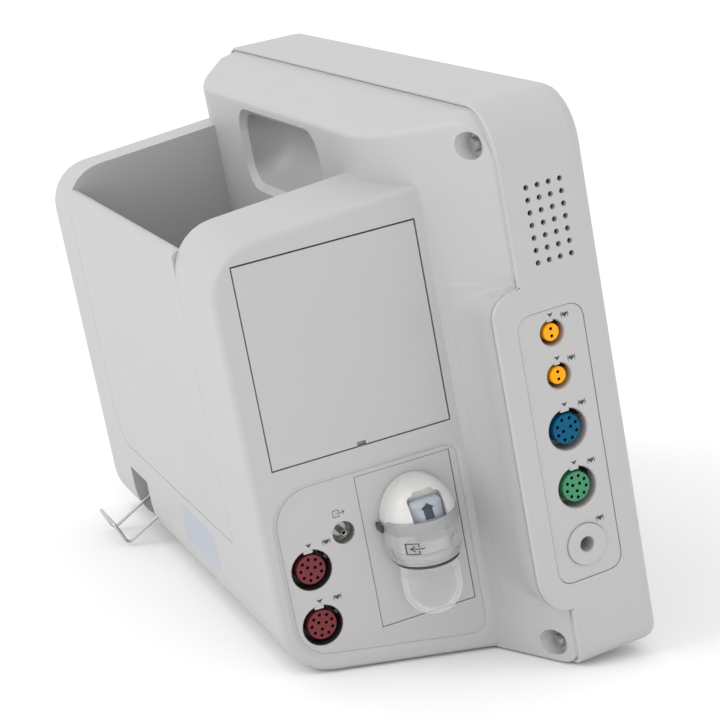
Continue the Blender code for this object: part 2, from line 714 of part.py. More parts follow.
def build_bezel(shop):
    """The front housing: a tray with a window, key holes, a rear flange and the port bulge."""
    arcs = [math.pi / 2 * step / FINE_STEPS for step in range(FINE_STEPS + 1)]
    rim = [bezel_ring(BEZEL_EDGE * (1 - math.cos(arc)), BEZEL_EDGE * (1 - math.sin(arc))) for arc in arcs]
    bezel = shop.part("front_bezel", loft(rim + [bezel_ring(BULGE_REAR_Y)]), CASE_PLASTIC)

    wide = BEZEL_HALF + REACH
    behind = box((-wide, BEZEL_DEPTH, -REACH), (wide, BULGE_REAR_Y + REACH, BEZEL_HEIGHT + REACH))
    trim = shop.tool("bezel_rear_trim", behind)
    kept = plate([bulge_outline()], -wide - REACH, BULGE_INNER_X, "YZ")
    combine(trim, shop.tool("bulge_kept", kept))
    combine(bezel, trim)

    flange_y = BEZEL_DEPTH - FLANGE_THICKNESS
    cavity = loft([bezel_ring(FRONT_WALL, SHELL), bezel_ring(flange_y, SHELL)])
    combine(bezel, shop.tool("bezel_cavity", cavity))
    lip = SHELL + FLANGE_WIDTH
    opening = rectangle((lip - BEZEL_HALF, lip), (BEZEL_HALF - lip, BEZEL_HEIGHT - lip), FLANGE_WIDTH)
    combine(bezel, shop.tool("bezel_opening", plate([opening], flange_y - OVERLAP, BEZEL_DEPTH + GAP, "XZ")))
    hollow = plate([bulge_outline(-SHELL)], SHELL + GAP - BEZEL_HALF, BULGE_INNER_X + OVERLAP, "YZ")
    combine(bezel, shop.tool("bulge_hollow", hollow))

    root = FRONT_WALL - OVERLAP
    posts = [rod((x, root, z), (x, CHASSIS_Y - GAP, z), POST_RADIUS, SMALL_SIDES) for x, z in post_points()]
    boss_z = KEY_Z - KEY_BOARD_HEIGHT / 2 + KEY_BOSS_RADIUS
    posts += [
        rod((x, root, boss_z), (x, KEY_BOARD_Y - GAP, boss_z), KEY_BOSS_RADIUS, HOLE_SIDES)
        for x in key_board_bosses()
    ]
    screw_end = flange_y - SCREW_LENGTH
    posts += [
        rod((x, screw_end, z), (x, flange_y + OVERLAP, z), SCREW_BOSS_RADIUS, SMALL_SIDES)
        for x, z in screw_points()
    ]
    combine(bezel, shop.tool("bezel_bosses", merged(*posts)), "UNION")

    glass_low, glass_high = LOWER_BORDER - GLASS_MARGIN, LOWER_BORDER + SCREEN_HEIGHT + GLASS_MARGIN
    seat = front_rectangle(
        SCREEN_WIDTH / 2 + GLASS_MARGIN + GAP, glass_low - GAP, glass_high + GAP, GLASS_RADIUS + GAP
    )
    combine(bezel, shop.tool("glass_seat", plate([seat], -OVERLAP, GLASS_THICKNESS + GAP, "XZ")))

    through = FRONT_WALL + OVERLAP
    window = front_rectangle(SCREEN_WIDTH / 2, LOWER_BORDER, LOWER_BORDER + SCREEN_HEIGHT, 0.0)
    holes = [plate([window], 0.0, through, "XZ"), plate([lamp_outline(GAP)], -OVERLAP, through, "XZ")]
    for x in key_places():
        holes.append(plate([key_outline(x, SLIDE_GAP)], -OVERLAP, through, "XZ"))
    power_hole = POWER_KEY_RADIUS + SLIDE_GAP
    holes.append(rod((POWER_KEY_X, -OVERLAP, KEY_Z), (POWER_KEY_X, through, KEY_Z), power_hole))
    shaft_hole = KNOB_SHAFT_RADIUS + SLIDE_GAP
    holes.append(rod((KNOB_X, -OVERLAP, KEY_Z), (KNOB_X, through, KEY_Z), shaft_hole, SMALL_SIDES))
    for x, z in screw_points():
        holes.append(rod((x, screw_end + OVERLAP, z), (x, CASE_FRONT_Y, z), SCREW_RADIUS + GAP, HOLE_SIDES))
    combine(bezel, shop.tool("bezel_holes", merged(*holes)))

    side_holes = [plate([port_panel_outline(GAP)], -OVERLAP, SHELL + FRONT_WALL, "YZ")]
    for column in range(GRILLE_COLUMNS):
        for row in range(GRILLE_ROWS):
            y = side_y(GRILLE_FRONT_Y + GRILLE_PITCH_Y * column)
            z = GRILLE_TOP_Z - GRILLE_PITCH_Z * row
            side_holes.append(rod((-OVERLAP, y, z), (SHELL + OVERLAP, y, z), GRILLE_HOLE / 2, SMALL_SIDES))
    combine(bezel, shop.tool("bezel_side_holes", merged(*side_holes), shop.port_side))


def side_y(y):
    """Depth y carried on to the drafted side of the bezel, measured from its rear edge."""
    return (y - BEZEL_DEPTH) / math.cos(DRAFT_ANGLE)


def post_points():
    """Where the chassis posts stand: between the display and the bezel's side walls."""
    x = SCREEN_WIDTH / 2 + LCD_MARGIN + POST_RADIUS + POST_INSET
    return [(side * x, z) for z in (POST_RISE, BEZEL_HEIGHT - BEZEL_UPPER_RADIUS) for side in (-1, 1)]


def lamp_outline(grow=0.0):
    """The outline of the alarm lamp's lens."""
    z = BEZEL_HEIGHT - LAMP_DROP
    half = LAMP_HEIGHT / 2
    return front_rectangle(LAMP_WIDTH / 2 + grow, z - half - grow, z + half + grow, half)


def key_outline(x, grow=0.0, z=KEY_Z):
    """The outline of one function key."""
    half_width, half_height = KEY_WIDTH / 2 + grow, KEY_HEIGHT / 2 + grow
    low, high = (x - half_width, z - half_height), (x + half_width, z + half_height)
    return rectangle(low, high, KEY_RADIUS + grow)


def port_panel_outline(grow=0.0):
    """The outline of the port panel, on the drafted side of the bezel."""
    low = (side_y(PANEL_FRONT_Y) - grow, PORT_PANEL_FOOT_Z - grow)
    high = (side_y(PANEL_REAR_Y) + grow, PORT_PANEL_HEAD_Z + grow)
    return rectangle(low, high, PANEL_RADIUS + grow)


def build_display(shop):
    """The touch glass, the display panel behind it and the alarm lamp's lens."""
    low, high = LOWER_BORDER - GLASS_MARGIN, LOWER_BORDER + SCREEN_HEIGHT + GLASS_MARGIN
    outline = front_rectangle(SCREEN_WIDTH / 2 + GLASS_MARGIN, low, high, GLASS_RADIUS)
    shop.part("touch_glass", plate([outline], 0.0, GLASS_THICKNESS, "XZ"), SCREEN_GLASS)
    half = SCREEN_WIDTH / 2 + LCD_MARGIN
    front = FRONT_WALL + GAP
    panel = box(
        (-half, front, LOWER_BORDER - LCD_MARGIN),
        (half, front + LCD_THICKNESS, LOWER_BORDER + SCREEN_HEIGHT + LCD_MARGIN),
    )
    shop.part("lcd_panel", panel, ALUMINIUM)
    shop.part("alarm_lamp", plate([lamp_outline()], -GAP, LAMP_DEPTH, "XZ"), AMBER_LENS)


def build_keys(shop):
    """The keys, which travel into the bezel, the rotary knob and the board behind them."""
    shoulder = FRONT_WALL + GAP
    levels = (
        (-KEY_PROUD, -KEY_CHAMFER),
        (KEY_CHAMFER - KEY_PROUD, 0.0),
        (shoulder, 0.0),
        (shoulder, KEY_FLANGE),
        (KEY_REAR_Y, KEY_FLANGE),
    )
    for number, x in enumerate(key_places(), start=1):
        rings = [[(u, y, v) for u, v in key_outline(0.0, grow, 0.0)] for y, grow in levels]
        shop.part(f"function_key_{number}", loft(rings), GREY_PLASTIC, place=(x, 0.0, KEY_Z))

    cap, flange = POWER_KEY_RADIUS, POWER_KEY_RADIUS + KEY_FLANGE
    profile = [
        (0.0, KEY_PROUD),
        (cap - KEY_CHAMFER, KEY_PROUD),
        (cap, KEY_PROUD - KEY_CHAMFER),
        (cap, -shoulder),
        (flange, -shoulder),
        (flange, -KEY_REAR_Y),
        (0.0, -KEY_REAR_Y),
    ]
    shop.turned("power_key", profile, GREY_PLASTIC, shop.body, (POWER_KEY_X, 0.0, KEY_Z), OUTWARD_FRONT)

    profile = [
        (0.0, KNOB_HEIGHT),
        (KNOB_RADIUS - KNOB_EDGE, KNOB_HEIGHT),
        (KNOB_RADIUS, KNOB_HEIGHT - KNOB_EDGE),
        (KNOB_RADIUS, KNOB_EDGE),
        (KNOB_RADIUS - KNOB_EDGE, SLIDE_GAP),
        (KNOB_SHAFT_RADIUS, SLIDE_GAP),
        (KNOB_SHAFT_RADIUS, GAP - KEY_BOARD_Y),
        (0.0, GAP - KEY_BOARD_Y),
    ]
    shop.turned("rotary_knob", profile, GREY_PLASTIC, shop.body, (KNOB_X, 0.0, KEY_Z), OUTWARD_FRONT)

    half = BEZEL_HALF - BEZEL_DRAFT - KEY_BOARD_MARGIN
    low = (-half, KEY_BOARD_Y, KEY_Z - KEY_BOARD_HEIGHT / 2)
    high = (half, KEY_BOARD_Y + BOARD_THICKNESS, KEY_Z + KEY_BOARD_HEIGHT / 2)
    shop.part("key_board", box(low, high), BOARD_GREEN)


def build_chassis(shop):
    """The sheet-metal chassis on the bezel's posts, and the main board on the chassis's studs."""
    half = BEZEL_HALF - BEZEL_DRAFT - SHELL - CHASSIS_SIDE_GAP
    notch_x = -SCREEN_WIDTH / 2
    foot, head = CHASSIS_INSET, BEZEL_HEIGHT - SHELL - CHASSIS_INSET
    notch_foot = PORT_PANEL_FOOT_Z - CHASSIS_INSET
    notch_head = max(GRILLE_Z + SPEAKER_RADIUS, PORT_PANEL_HEAD_Z) + CHASSIS_NOTCH_MARGIN
    corners = [
        (-half, foot),
        (half, foot),
        (half, head),
        (-half, head),
        (-half, notch_head),
        (notch_x, notch_head),
        (notch_x, notch_foot),
        (-half, notch_foot),
    ]
    outline = rounded(corners, [CHASSIS_RADIUS] * 4 + [0.0] * 4, FINE_STEPS)
    rear = CHASSIS_Y + CHASSIS_SHEET
    chassis = shop.part("chassis_plate", plate([outline], CHASSIS_Y, rear, "XZ"), ALUMINIUM)
    half_width = MAIN_BOARD_WIDTH / 2
    low, high = MAIN_BOARD_Z - MAIN_BOARD_HEIGHT / 2, MAIN_BOARD_Z + MAIN_BOARD_HEIGHT / 2
    studs = []
    for x in (STUD_RADIUS - half_width, half_width - STUD_RADIUS):
        for z in (low + STUD_RADIUS, high - STUD_RADIUS):
            studs.append(rod((x, rear - OVERLAP, z), (x, rear + STUD_HEIGHT, z), STUD_RADIUS, HOLE_SIDES))
    combine(chassis, shop.tool("chassis_studs", merged(*studs)), "UNION")

    front = rear + STUD_HEIGHT + GAP
    back = front + BOARD_THICKNESS
    board = shop.part("main_board", box((-half_width, front, low), (half_width, back, high)), BOARD_GREEN)
    shield = box(
        (-SHIELD_WIDTH / 2, back - BOARD_THICKNESS / 2, MAIN_BOARD_Z - SHIELD_HEIGHT / 2),
        (SHIELD_WIDTH / 2, back + SHIELD_DEPTH, MAIN_BOARD_Z + SHIELD_HEIGHT / 2),
    )
    combine(board, shop.tool("board_shield", shield), "UNION")


def socket(shop, port, frame, mouth_x, y):
    """A patient socket: a dark shell that fits its opening, and the coloured core inside it."""
    outer = port.opening / 2 - GAP
    inner = outer - PORT_WALL
    shell = [
        (0.0, PORT_FLOOR),
        (inner, PORT_FLOOR),
        (inner, PORT_DEPTH),
        (outer, PORT_DEPTH),
        (outer, 0.0),
        (0.0, 0.0),
    ]
    foot_x = mouth_x + PORT_DEPTH
    shop.turned(f"{port.name}_shell", shell, DARK_PLASTIC, frame, (foot_x, y, port.z), OUTWARD_LEFT)
    radius = port.core / 2
    height = PORT_DEPTH - CORE_SETBACK - PORT_FLOOR - GAP
    core = [
        (0.0, height),
        (radius - CORE_CHAMFER, height),
        (radius, height - CORE_CHAMFER),
        (radius, 0.0),
        (0.0, 0.0),
    ]
    core_x = foot_x - PORT_FLOOR - GAP
    shop.turned(f"{port.name}_core", core, port.finish, frame, (core_x, y, port.z), OUTWARD_LEFT)


def build_ports(shop):
    """The port panel on the bezel's side with its sockets, the board behind them and the loudspeaker."""
    y = side_y(PORT_Y)
    holes = [circle((y, port.z), port.opening / 2) for port in PATIENT_PORTS]
    holes.append(circle((y, CUFF_PORT_Z), CUFF_RING / 2 + GAP))
    panel = plate([port_panel_outline()] + holes, PANEL_INSET, PANEL_INSET + PANEL_THICKNESS, "YZ")
    shop.part("port_panel", panel, CASE_PLASTIC, shop.port_side)
    for port in PATIENT_PORTS:
        socket(shop, port, shop.port_side, PANEL_INSET + GAP, y)

    foot_x = PANEL_INSET + GAP + PORT_DEPTH
    height = foot_x + CUFF_PROUD
    ring, bore = CUFF_RING / 2, CUFF_BORE / 2
    cuff = [
        (0.0, PORT_FLOOR),
        (bore, PORT_FLOOR),
        (bore, height),
        (ring - CORE_CHAMFER, height),
        (ring, height - CORE_CHAMFER),
        (ring, 0.0),
        (0.0, 0.0),
    ]
    shop.turned("nibp_socket", cuff, CASE_PLASTIC, shop.port_side, (foot_x, y, CUFF_PORT_Z), OUTWARD_LEFT)

    board_x = foot_x + GAP
    low = (board_x, side_y(PANEL_FRONT_Y), PORT_PANEL_FOOT_Z)
    high = (board_x + BOARD_THICKNESS, side_y(PANEL_REAR_Y), PORT_PANEL_HEAD_Z)
    shop.part("parameter_board", box(low, high), BOARD_GREEN, shop.port_side)

    cone = [
        (0.0, SPEAKER_DEPTH),
        (SPEAKER_RADIUS, SPEAKER_DEPTH),
        (SPEAKER_RADIUS, SPEAKER_DEPTH - SPEAKER_RIM),
        (SPEAKER_MAGNET, SPEAKER_MAGNET_DEPTH),
        (SPEAKER_MAGNET, 0.0),
        (0.0, 0.0),
    ]
    place = (SHELL / math.cos(DRAFT_ANGLE) + GAP + SPEAKER_DEPTH, side_y(GRILLE_Y), GRILLE_Z)
    shop.turned("speaker", cone, DARK_PLASTIC, shop.port_side, place, OUTWARD_LEFT)


def hump_plan(x_end, inset, front):
    """The hump from above: straight rear wall, a wide rounding and the flare, out to x_end on both sides."""
    centre_y = HUMP_Y - HUMP_RADIUS
    normal = (math.sin(FLARE_ANGLE), math.cos(FLARE_ANGLE))
    reach = normal[0] * RIM_HALF + normal[1] * RIM_Y - HUMP_RADIUS
    centre_x = (reach - normal[1] * centre_y) / normal[0]
    radius = HUMP_RADIUS - inset
    x_end = x_end - inset
    right = [(x_end, front), (x_end, flare_y(x_end, inset))]
    for step in range(ARC_STEPS + 1):
        angle = FLARE_ANGLE * (1 - step / ARC_STEPS)
        right.append((centre_x + radius * math.sin(angle), centre_y + radius * math.cos(angle)))
    return right + [(-x, y) for x, y in reversed(right)]


def corner_loss(depth, radius):
    """How far a rounded corner draws in at this depth below its crown."""
    short = max(radius - depth, 0.0)
    return radius - math.sqrt(radius * radius - short * short)


def hump_solid(inset, front):
    """The hump, from its underside to its sloping top, moved inwards by inset."""
    upper, lower = HUMP_CORNER, HUMP_FOOT_CORNER
    arcs = [math.pi / 2 * step / ARC_STEPS for step in range(ARC_STEPS + 1)]
    crest = [CREST_RADIUS * (1 - math.cos(math.pi / 2 * step / FINE_STEPS)) for step in range(FINE_STEPS + 1)]
    depths = sorted(set(crest) | {upper * (1 - math.cos(arc)) for arc in arcs[2:]})
    rings = []
    for arc in arcs:
        height = lower * (1 - math.cos(arc))
        plan = hump_plan(RIM_HALF - corner_loss(height, lower), inset, front)
        rings.append([(x, y, underside_z(y, HUMP_LIFT + inset + height)) for x, y in plan])
    for depth in reversed(depths):
        draw = inset + corner_loss(depth, CREST_RADIUS)
        plan = hump_plan(RIM_HALF - corner_loss(depth, upper) + draw - inset, draw, front)
        drop = depth + inset
        rings.append([(x, y, hump_top_z(y) - drop / math.cos(HUMP_SLOPE)) for x, y in plan])
    return loft(rings)


def box_ring(x, inset, front, rear, crown, top=None):
    """The box's side outline at x: flat underside, rounded rear corners and the falling top."""
    raised = crown - inset / math.cos(BOX_FALL)
    top_front = wing_top_z(front) + raised if top is None else top
    top_rear = wing_top_z(rear) + raised if top is None else top
    corners = [
        (front, underside_z(front, inset)),
        (rear, underside_z(rear, inset)),
        (rear, top_rear),
        (front, top_front),
    ]
    upper = BOX_UPPER_RADIUS - inset if top is None else 0.0
    return [(x, y, z) for y, z in rounded(corners, [0.0, BOX_LOWER_RADIUS - inset, upper, 0.0])]


def box_solid(front):
    """The box behind the flare, its side edges rounded and its wings crowned towards the bin."""
    arcs = [math.pi / 2 * step / FINE_STEPS for step in range(FINE_STEPS + 1)]
    edge = [(BOX_EDGE * (1 - math.sin(arc)), BOX_EDGE * (1 - math.cos(arc))) for arc in reversed(arcs)]
    left = [box_ring(shift - BOX_HALF, inset, front, REAR_Y - inset, 0.0) for shift, inset in edge]
    right = [box_ring(BOX_HALF - shift, inset, front, REAR_Y - inset, 0.0) for shift, inset in reversed(edge)]
    middle = [box_ring(x, 0.0, front, REAR_Y, WING_CROWN) for x in (BIN_NEAR_X, BIN_FAR_X)]
    return loft(left + middle + right)


def box_hollow(front):
    """The space inside the box, a wall's thickness in from its outside."""
    rear = REAR_Y - REAR_WALL
    side = BOX_HALF - SHELL
    stations = ((-side, 0.0), (BIN_NEAR_X, WING_CROWN), (BIN_FAR_X, WING_CROWN), (side, 0.0))
    return loft([box_ring(x, SHELL, front, rear, crown) for x, crown in stations])


def bin_block(wall):
    """The open bin between the wings, grown by a wall's thickness at its floor and sides."""
    low = (BIN_NEAR_X - wall, CASE_FRONT_Y, BIN_FLOOR_Z - wall)
    high = (BIN_FAR_X + wall, REAR_Y + REACH, BEZEL_HEIGHT + REACH)
    return box(low, high)


def fascia_outline(grow=0.0):
    """The module fascia's outline: its lower edge runs level with the table."""
    front, rear = FASCIA_FRONT_Y - grow, FASCIA_REAR_Y + grow
    lift = FASCIA_FOOT_MARGIN - grow
    top = FASCIA_TOP_Z + grow
    corners = [(front, underside_z(front, lift)), (rear, underside_z(rear, lift)), (rear, top), (front, top)]
    radius, rear_radius = FASCIA_RADIUS + grow, FASCIA_REAR_RADIUS + grow
    return rounded(corners, [radius, rear_radius, rear_radius, radius])


def fascia_border(part):
    """One ring of the slope round the fascia: part 0 lies at the fascia's face, part 1 at the case's side."""
    outline = fascia_outline(GAP + FASCIA_BORDER * part)
    return [(FASCIA_X - FASCIA_SETBACK * part, y, z) for y, z in outline]


def rear_panel_outline(grow, top):
    """The rear panel seen from behind, with its far lower corner rounded."""
    low, high = BIN_NEAR_X + GAP - grow, BIN_FAR_X - GAP + grow
    foot = REAR_PANEL_FOOT_Z - grow
    corners = [(low, foot), (high, foot), (high, top), (low, top)]
    return rounded(corners, [0.0, REAR_PANEL_CORNER + grow, 0.0, 0.0])


def grip_ring(y, grow):
    """The hand grip's outline in the hump's rear wall at depth y."""
    top = CREST_Z - GRIP_DROP + grow
    half = GRIP_WIDTH / 2 + grow
    outline = rectangle((-half, top - GRIP_HEIGHT - 2 * grow), (half, top), GRIP_RADIUS + grow)
    return [(x, y, z) for x, z in outline]


def recess_box(wall, rear):
    """The mains inlet's recess, grown by a wall's thickness."""
    half = INLET_RECESS_WIDTH / 2 + wall
    low = (INLET_X - half, INLET_WALL_Y - wall, underside_z(INLET_WALL_Y) - REACH)
    return box(low, (INLET_X + half, rear, INLET_RECESS_TOP_Z + wall))


def inlet_rectangle(width, height, grow=0.0):
    """A rectangle round the mains inlet's centre."""
    half_width, half_height = width / 2 + grow, height / 2 + grow
    low = (INLET_X - half_width, INLET_Z - half_height)
    return rectangle(low, (INLET_X + half_width, INLET_Z + half_height))


def pin_span(grow=0.0):
    """Where the door's hinge pin starts and ends, along Y."""
    reach = DOOR_SEAM + LUG_WIDTH + grow
    return DOOR_FRONT_Y - reach, DOOR_REAR_Y + reach


def build_rear_case(shop):
    """The rear housing: hump and box as one hollow shell, with every opening cut through it."""
    case = shop.part("rear_case", hump_solid(0.0, CASE_FRONT_Y), CASE_PLASTIC)
    bulk = shop.tool("box_bulk", box_solid(RIM_Y + OVERLAP))
    combine(bulk, shop.tool("bin_space", bin_block(0.0)))
    combine(case, bulk, "UNION")
    combine(case, shop.tool("hump_hollow", hump_solid(SHELL, CASE_FRONT_Y - REACH)))
    hollow = shop.tool("box_hollow", box_hollow(RIM_Y + 2 * OVERLAP))
    combine(hollow, shop.tool("bin_walls", bin_block(SHELL)))
    combine(case, hollow)

    crest = CREST_Z - GRIP_DROP
    grip_back = HUMP_Y - GRIP_DEPTH
    liner_half = GRIP_WIDTH / 2 + SHELL
    liners = [
        box(
            (-liner_half, grip_back - SHELL, crest - GRIP_HEIGHT - SHELL),
            (liner_half, HUMP_Y - OVERLAP, crest + SHELL),
        )
    ]
    for start, end in zip(pin_span(), (DOOR_FRONT_Y - DOOR_SEAM, DOOR_REAR_Y + DOOR_SEAM)):
        low, high = sorted((start, end))
        liners.append(
            box(
                (SKIN_X + SHELL - OVERLAP, low, HINGE_Z - LUG_HEIGHT / 2),
                (SKIN_X + LUG_DEPTH, high, HINGE_Z + LUG_HEIGHT / 2),
            )
        )
    combine(case, shop.tool("case_liners", merged(*liners)), "UNION")

    recess_half = INLET_RECESS_WIDTH / 2 + SHELL
    recess_front = INLET_WALL_Y - SHELL
    recess_top = INLET_RECESS_TOP_Z + SHELL
    surround = [
        box_ring(x, OVERLAP, recess_front, REAR_Y - OVERLAP, 0.0, recess_top)
        for x in (INLET_X - recess_half, INLET_X + recess_half)
    ]
    combine(case, shop.tool("recess_surround", loft(surround)), "UNION")

    tubes = [
        rod((x, CASE_FRONT_Y + OVERLAP / 2, z), (x, HUMP_Y, z), COUNTERBORE_RADIUS + COUNTERBORE_WALL)
        for x, z in screw_points()
    ]
    bosses = shop.tool("case_bosses", merged(*tubes))
    combine(bosses, shop.tool("hump_skin", hump_solid(OVERLAP, CASE_FRONT_Y)), "INTERSECT")
    combine(case, bosses, "UNION")

    mouth = HUMP_Y - GRIP_BEVEL
    flared = grip_ring(HUMP_Y + GRIP_BEVEL, 2 * GRIP_BEVEL)
    grip = loft([grip_ring(grip_back, 0.0), grip_ring(mouth, 0.0), flared])
    door_low = (SKIN_X - REACH, DOOR_FRONT_Y - DOOR_SEAM, DOOR_FOOT_Z - DOOR_SEAM)
    door_high = (HINGE_X + HINGE_DROP, DOOR_REAR_Y + DOOR_SEAM, DOOR_TOP_Z + DOOR_HEAD_SEAM)
    panel_seat = REAR_Y - REAR_PANEL_THICKNESS - GAP
    cuts = [
        grip,
        recess_box(0.0, REAR_Y + REACH),
        box(door_low, door_high),
        plate([fascia_outline(GAP)], SKIN_X - REACH, SKIN_X + SHELL + OVERLAP, "YZ"),
        plate([rear_panel_outline(GAP, BEZEL_HEIGHT + REACH)], panel_seat, REAR_Y + REACH, "XZ"),
    ]
    floor = CASE_FRONT_Y + COUNTERBORE_FLOOR
    cuts += [rod((x, floor, z), (x, HUMP_Y, z), COUNTERBORE_RADIUS) for x, z in screw_points()]
    combine(case, shop.tool("fascia_slope", loft([fascia_border(part) for part in FASCIA_SLOPE_ENDS])))
    combine(case, shop.tool("case_openings", merged(*cuts)))

    holes = [
        rod((x, CASE_FRONT_Y - OVERLAP, z), (x, floor + OVERLAP, z), SCREW_RADIUS + GAP, HOLE_SIDES)
        for x, z in screw_points()
    ]
    start, end = pin_span(OVERLAP)
    holes.append(rod((HINGE_X, start, HINGE_Z), (HINGE_X, end, HINGE_Z), HINGE_PIN_RADIUS + GAP, SMALL_SIDES))
    pivot = recess_half + OVERLAP
    holes.append(
        rod(
            (INLET_X - pivot, BAIL_Y, BAIL_PIVOT_Z),
            (INLET_X + pivot, BAIL_Y, BAIL_PIVOT_Z),
            BAIL_WIRE / 2 + GAP,
            SMALL_SIDES,
        )
    )
    inlet_hole = inlet_rectangle(INLET_BODY_WIDTH, INLET_BODY_HEIGHT, GAP)
    holes.append(plate([inlet_hole], recess_front - OVERLAP, INLET_WALL_Y + OVERLAP, "XZ"))
    combine(case, shop.tool("case_holes", merged(*holes)))

    wide = BEZEL_HALF + REACH
    notch = plate([bulge_outline(GAP)], -wide, BULGE_INNER_X + GAP, "YZ")
    combine(case, shop.tool("bulge_notch", notch))

    pockets = [
        rod((x, y, -REACH), (x, y, FOOT_PROUD + FOOT_RECESS), FOOT_RADIUS + GAP) for x, y in foot_points()
    ]
    half_width, half_length = MOUNT_PLATE_WIDTH / 2 + GAP, MOUNT_PLATE_LENGTH / 2 + GAP
    roof = FOOT_PROUD + FOOT_RECESS
    pockets.append(box((-half_width, -half_length, -REACH), (half_width, half_length, roof)))
    combine(case, shop.tool("base_pockets", merged(*pockets), shop.base))


def foot_points():
    """Where the four feet stand under the base."""
    return [(side * FOOT_X, y) for y in (FOOT_FRONT_Y, FOOT_REAR_Y) for side in (-1, 1)]


def build_rear_panel(shop):
    """The bin's rear wall: a thin moulding with a thick rounded top edge."""
    top = WING_TOP_Z - REAR_PANEL_DROP
    inner = REAR_Y - REAR_PANEL_THICKNESS
    bead = REAR_Y - REAR_PANEL_BEAD
    neck = top - REAR_PANEL_BEAD
    corners = [
        (inner, REAR_PANEL_FOOT_Z),
        (REAR_Y, REAR_PANEL_FOOT_Z),
        (REAR_Y, top),
        (bead, top),
        (bead, neck),
        (inner, neck - REAR_PANEL_BEAD),
    ]
    outline = rounded(corners, [0.0, 0.0, REAR_PANEL_ROUND, REAR_PANEL_ROUND, 0.0, 0.0], FINE_STEPS)
    panel = plate([outline], BIN_NEAR_X + GAP, BIN_FAR_X - GAP, "YZ")
    panel = shop.part("rear_panel", panel, CASE_PLASTIC)
    keep = plate([rear_panel_outline(0.0, top + REACH)], bead - REACH, REAR_Y + REACH, "XZ")
    combine(panel, shop.tool("rear_panel_outline", keep), "INTERSECT")


def build_battery_bay(shop):
    """The door on its hinge pin, and the battery pack in its cradle behind it."""
    middle = (DOOR_FRONT_Y + DOOR_REAR_Y) / 2
    half = DOOR_WIDTH / 2
    skin = -HINGE_DEPTH
    inner = skin + DOOR_THICKNESS
    low, high = DOOR_FOOT_Z - HINGE_Z, DOOR_TOP_Z - HINGE_Z
    levels = ((skin, -DOOR_EDGE), (skin + DOOR_EDGE, 0.0), (inner, 0.0))
    rings = [
        [(x, y, z) for y, z in rectangle((-half - grow, low - grow), (half + grow, high + grow))]
        for x, grow in levels
    ]
    door = shop.part("battery_door", loft(rings), CASE_PLASTIC, place=(HINGE_X, middle, HINGE_Z))
    knuckles = []
    for side in (-1, 1):
        end = side * (half - KNUCKLE_INSET)
        start = end - side * KNUCKLE_LENGTH
        knuckles.append(rod((0.0, start, 0.0), (0.0, end, 0.0), KNUCKLE_RADIUS, SMALL_SIDES))
    barrels = shop.tool("door_knuckles", merged(*knuckles))
    barrels.parent = door
    combine(door, barrels, "UNION")
    bore = rod((0.0, -half - REACH, 0.0), (0.0, half + REACH, 0.0), HINGE_PIN_RADIUS + GAP, SMALL_SIDES)
    notch = box(
        (skin - OVERLAP, -NOTCH_WIDTH / 2, low - OVERLAP),
        (inner + OVERLAP, NOTCH_WIDTH / 2, low + NOTCH_HEIGHT),
    )
    cuts = shop.tool("door_cuts", merged(bore, notch))
    cuts.parent = door
    combine(door, cuts)

    start, end = pin_span()
    pin = rod((HINGE_X, start, HINGE_Z), (HINGE_X, end, HINGE_Z), HINGE_PIN_RADIUS, SMALL_SIDES)
    shop.part("door_hinge_pin", pin, STEEL)

    mouth = SKIN_X + DOOR_THICKNESS + GAP
    inset = DOOR_SEAM - GAP
    low = (mouth, DOOR_FRONT_Y - inset, DOOR_FOOT_Z - inset)
    high = (mouth + CRADLE_DEPTH, DOOR_REAR_Y + inset, DOOR_FOOT_Z + CRADLE_HEIGHT)
    cradle = shop.part("battery_cradle", box(low, high), GREY_PLASTIC)
    wall = Vector((CRADLE_WALL,) * 3)
    space_low = Vector(low) + Vector((-OVERLAP - CRADLE_WALL, 0.0, 0.0)) + wall
    space_high = Vector(high) - wall + Vector((0.0, 0.0, CRADLE_WALL + OVERLAP))
    combine(cradle, shop.tool("cradle_space", box(space_low, space_high)))

    gap = Vector((GAP,) * 3)
    pack_high = space_high - gap - Vector((0.0, 0.0, OVERLAP + BATTERY_HEADROOM))
    pack_low = space_low + gap
    pack_low.x = pack_high.x - BATTERY_DEPTH
    shop.part("battery_pack", box(pack_low, pack_high), DARK_PLASTIC)


def gas_plate_corners(grow=0.0):
    """The gas plate's lower and upper corners, in Y and Z."""
    low = (GAS_PLATE_Y - grow, GAS_PLATE_Z - grow)
    return low, (GAS_PLATE_Y + GAS_PLATE_WIDTH + grow, GAS_PLATE_TOP_Z + grow)


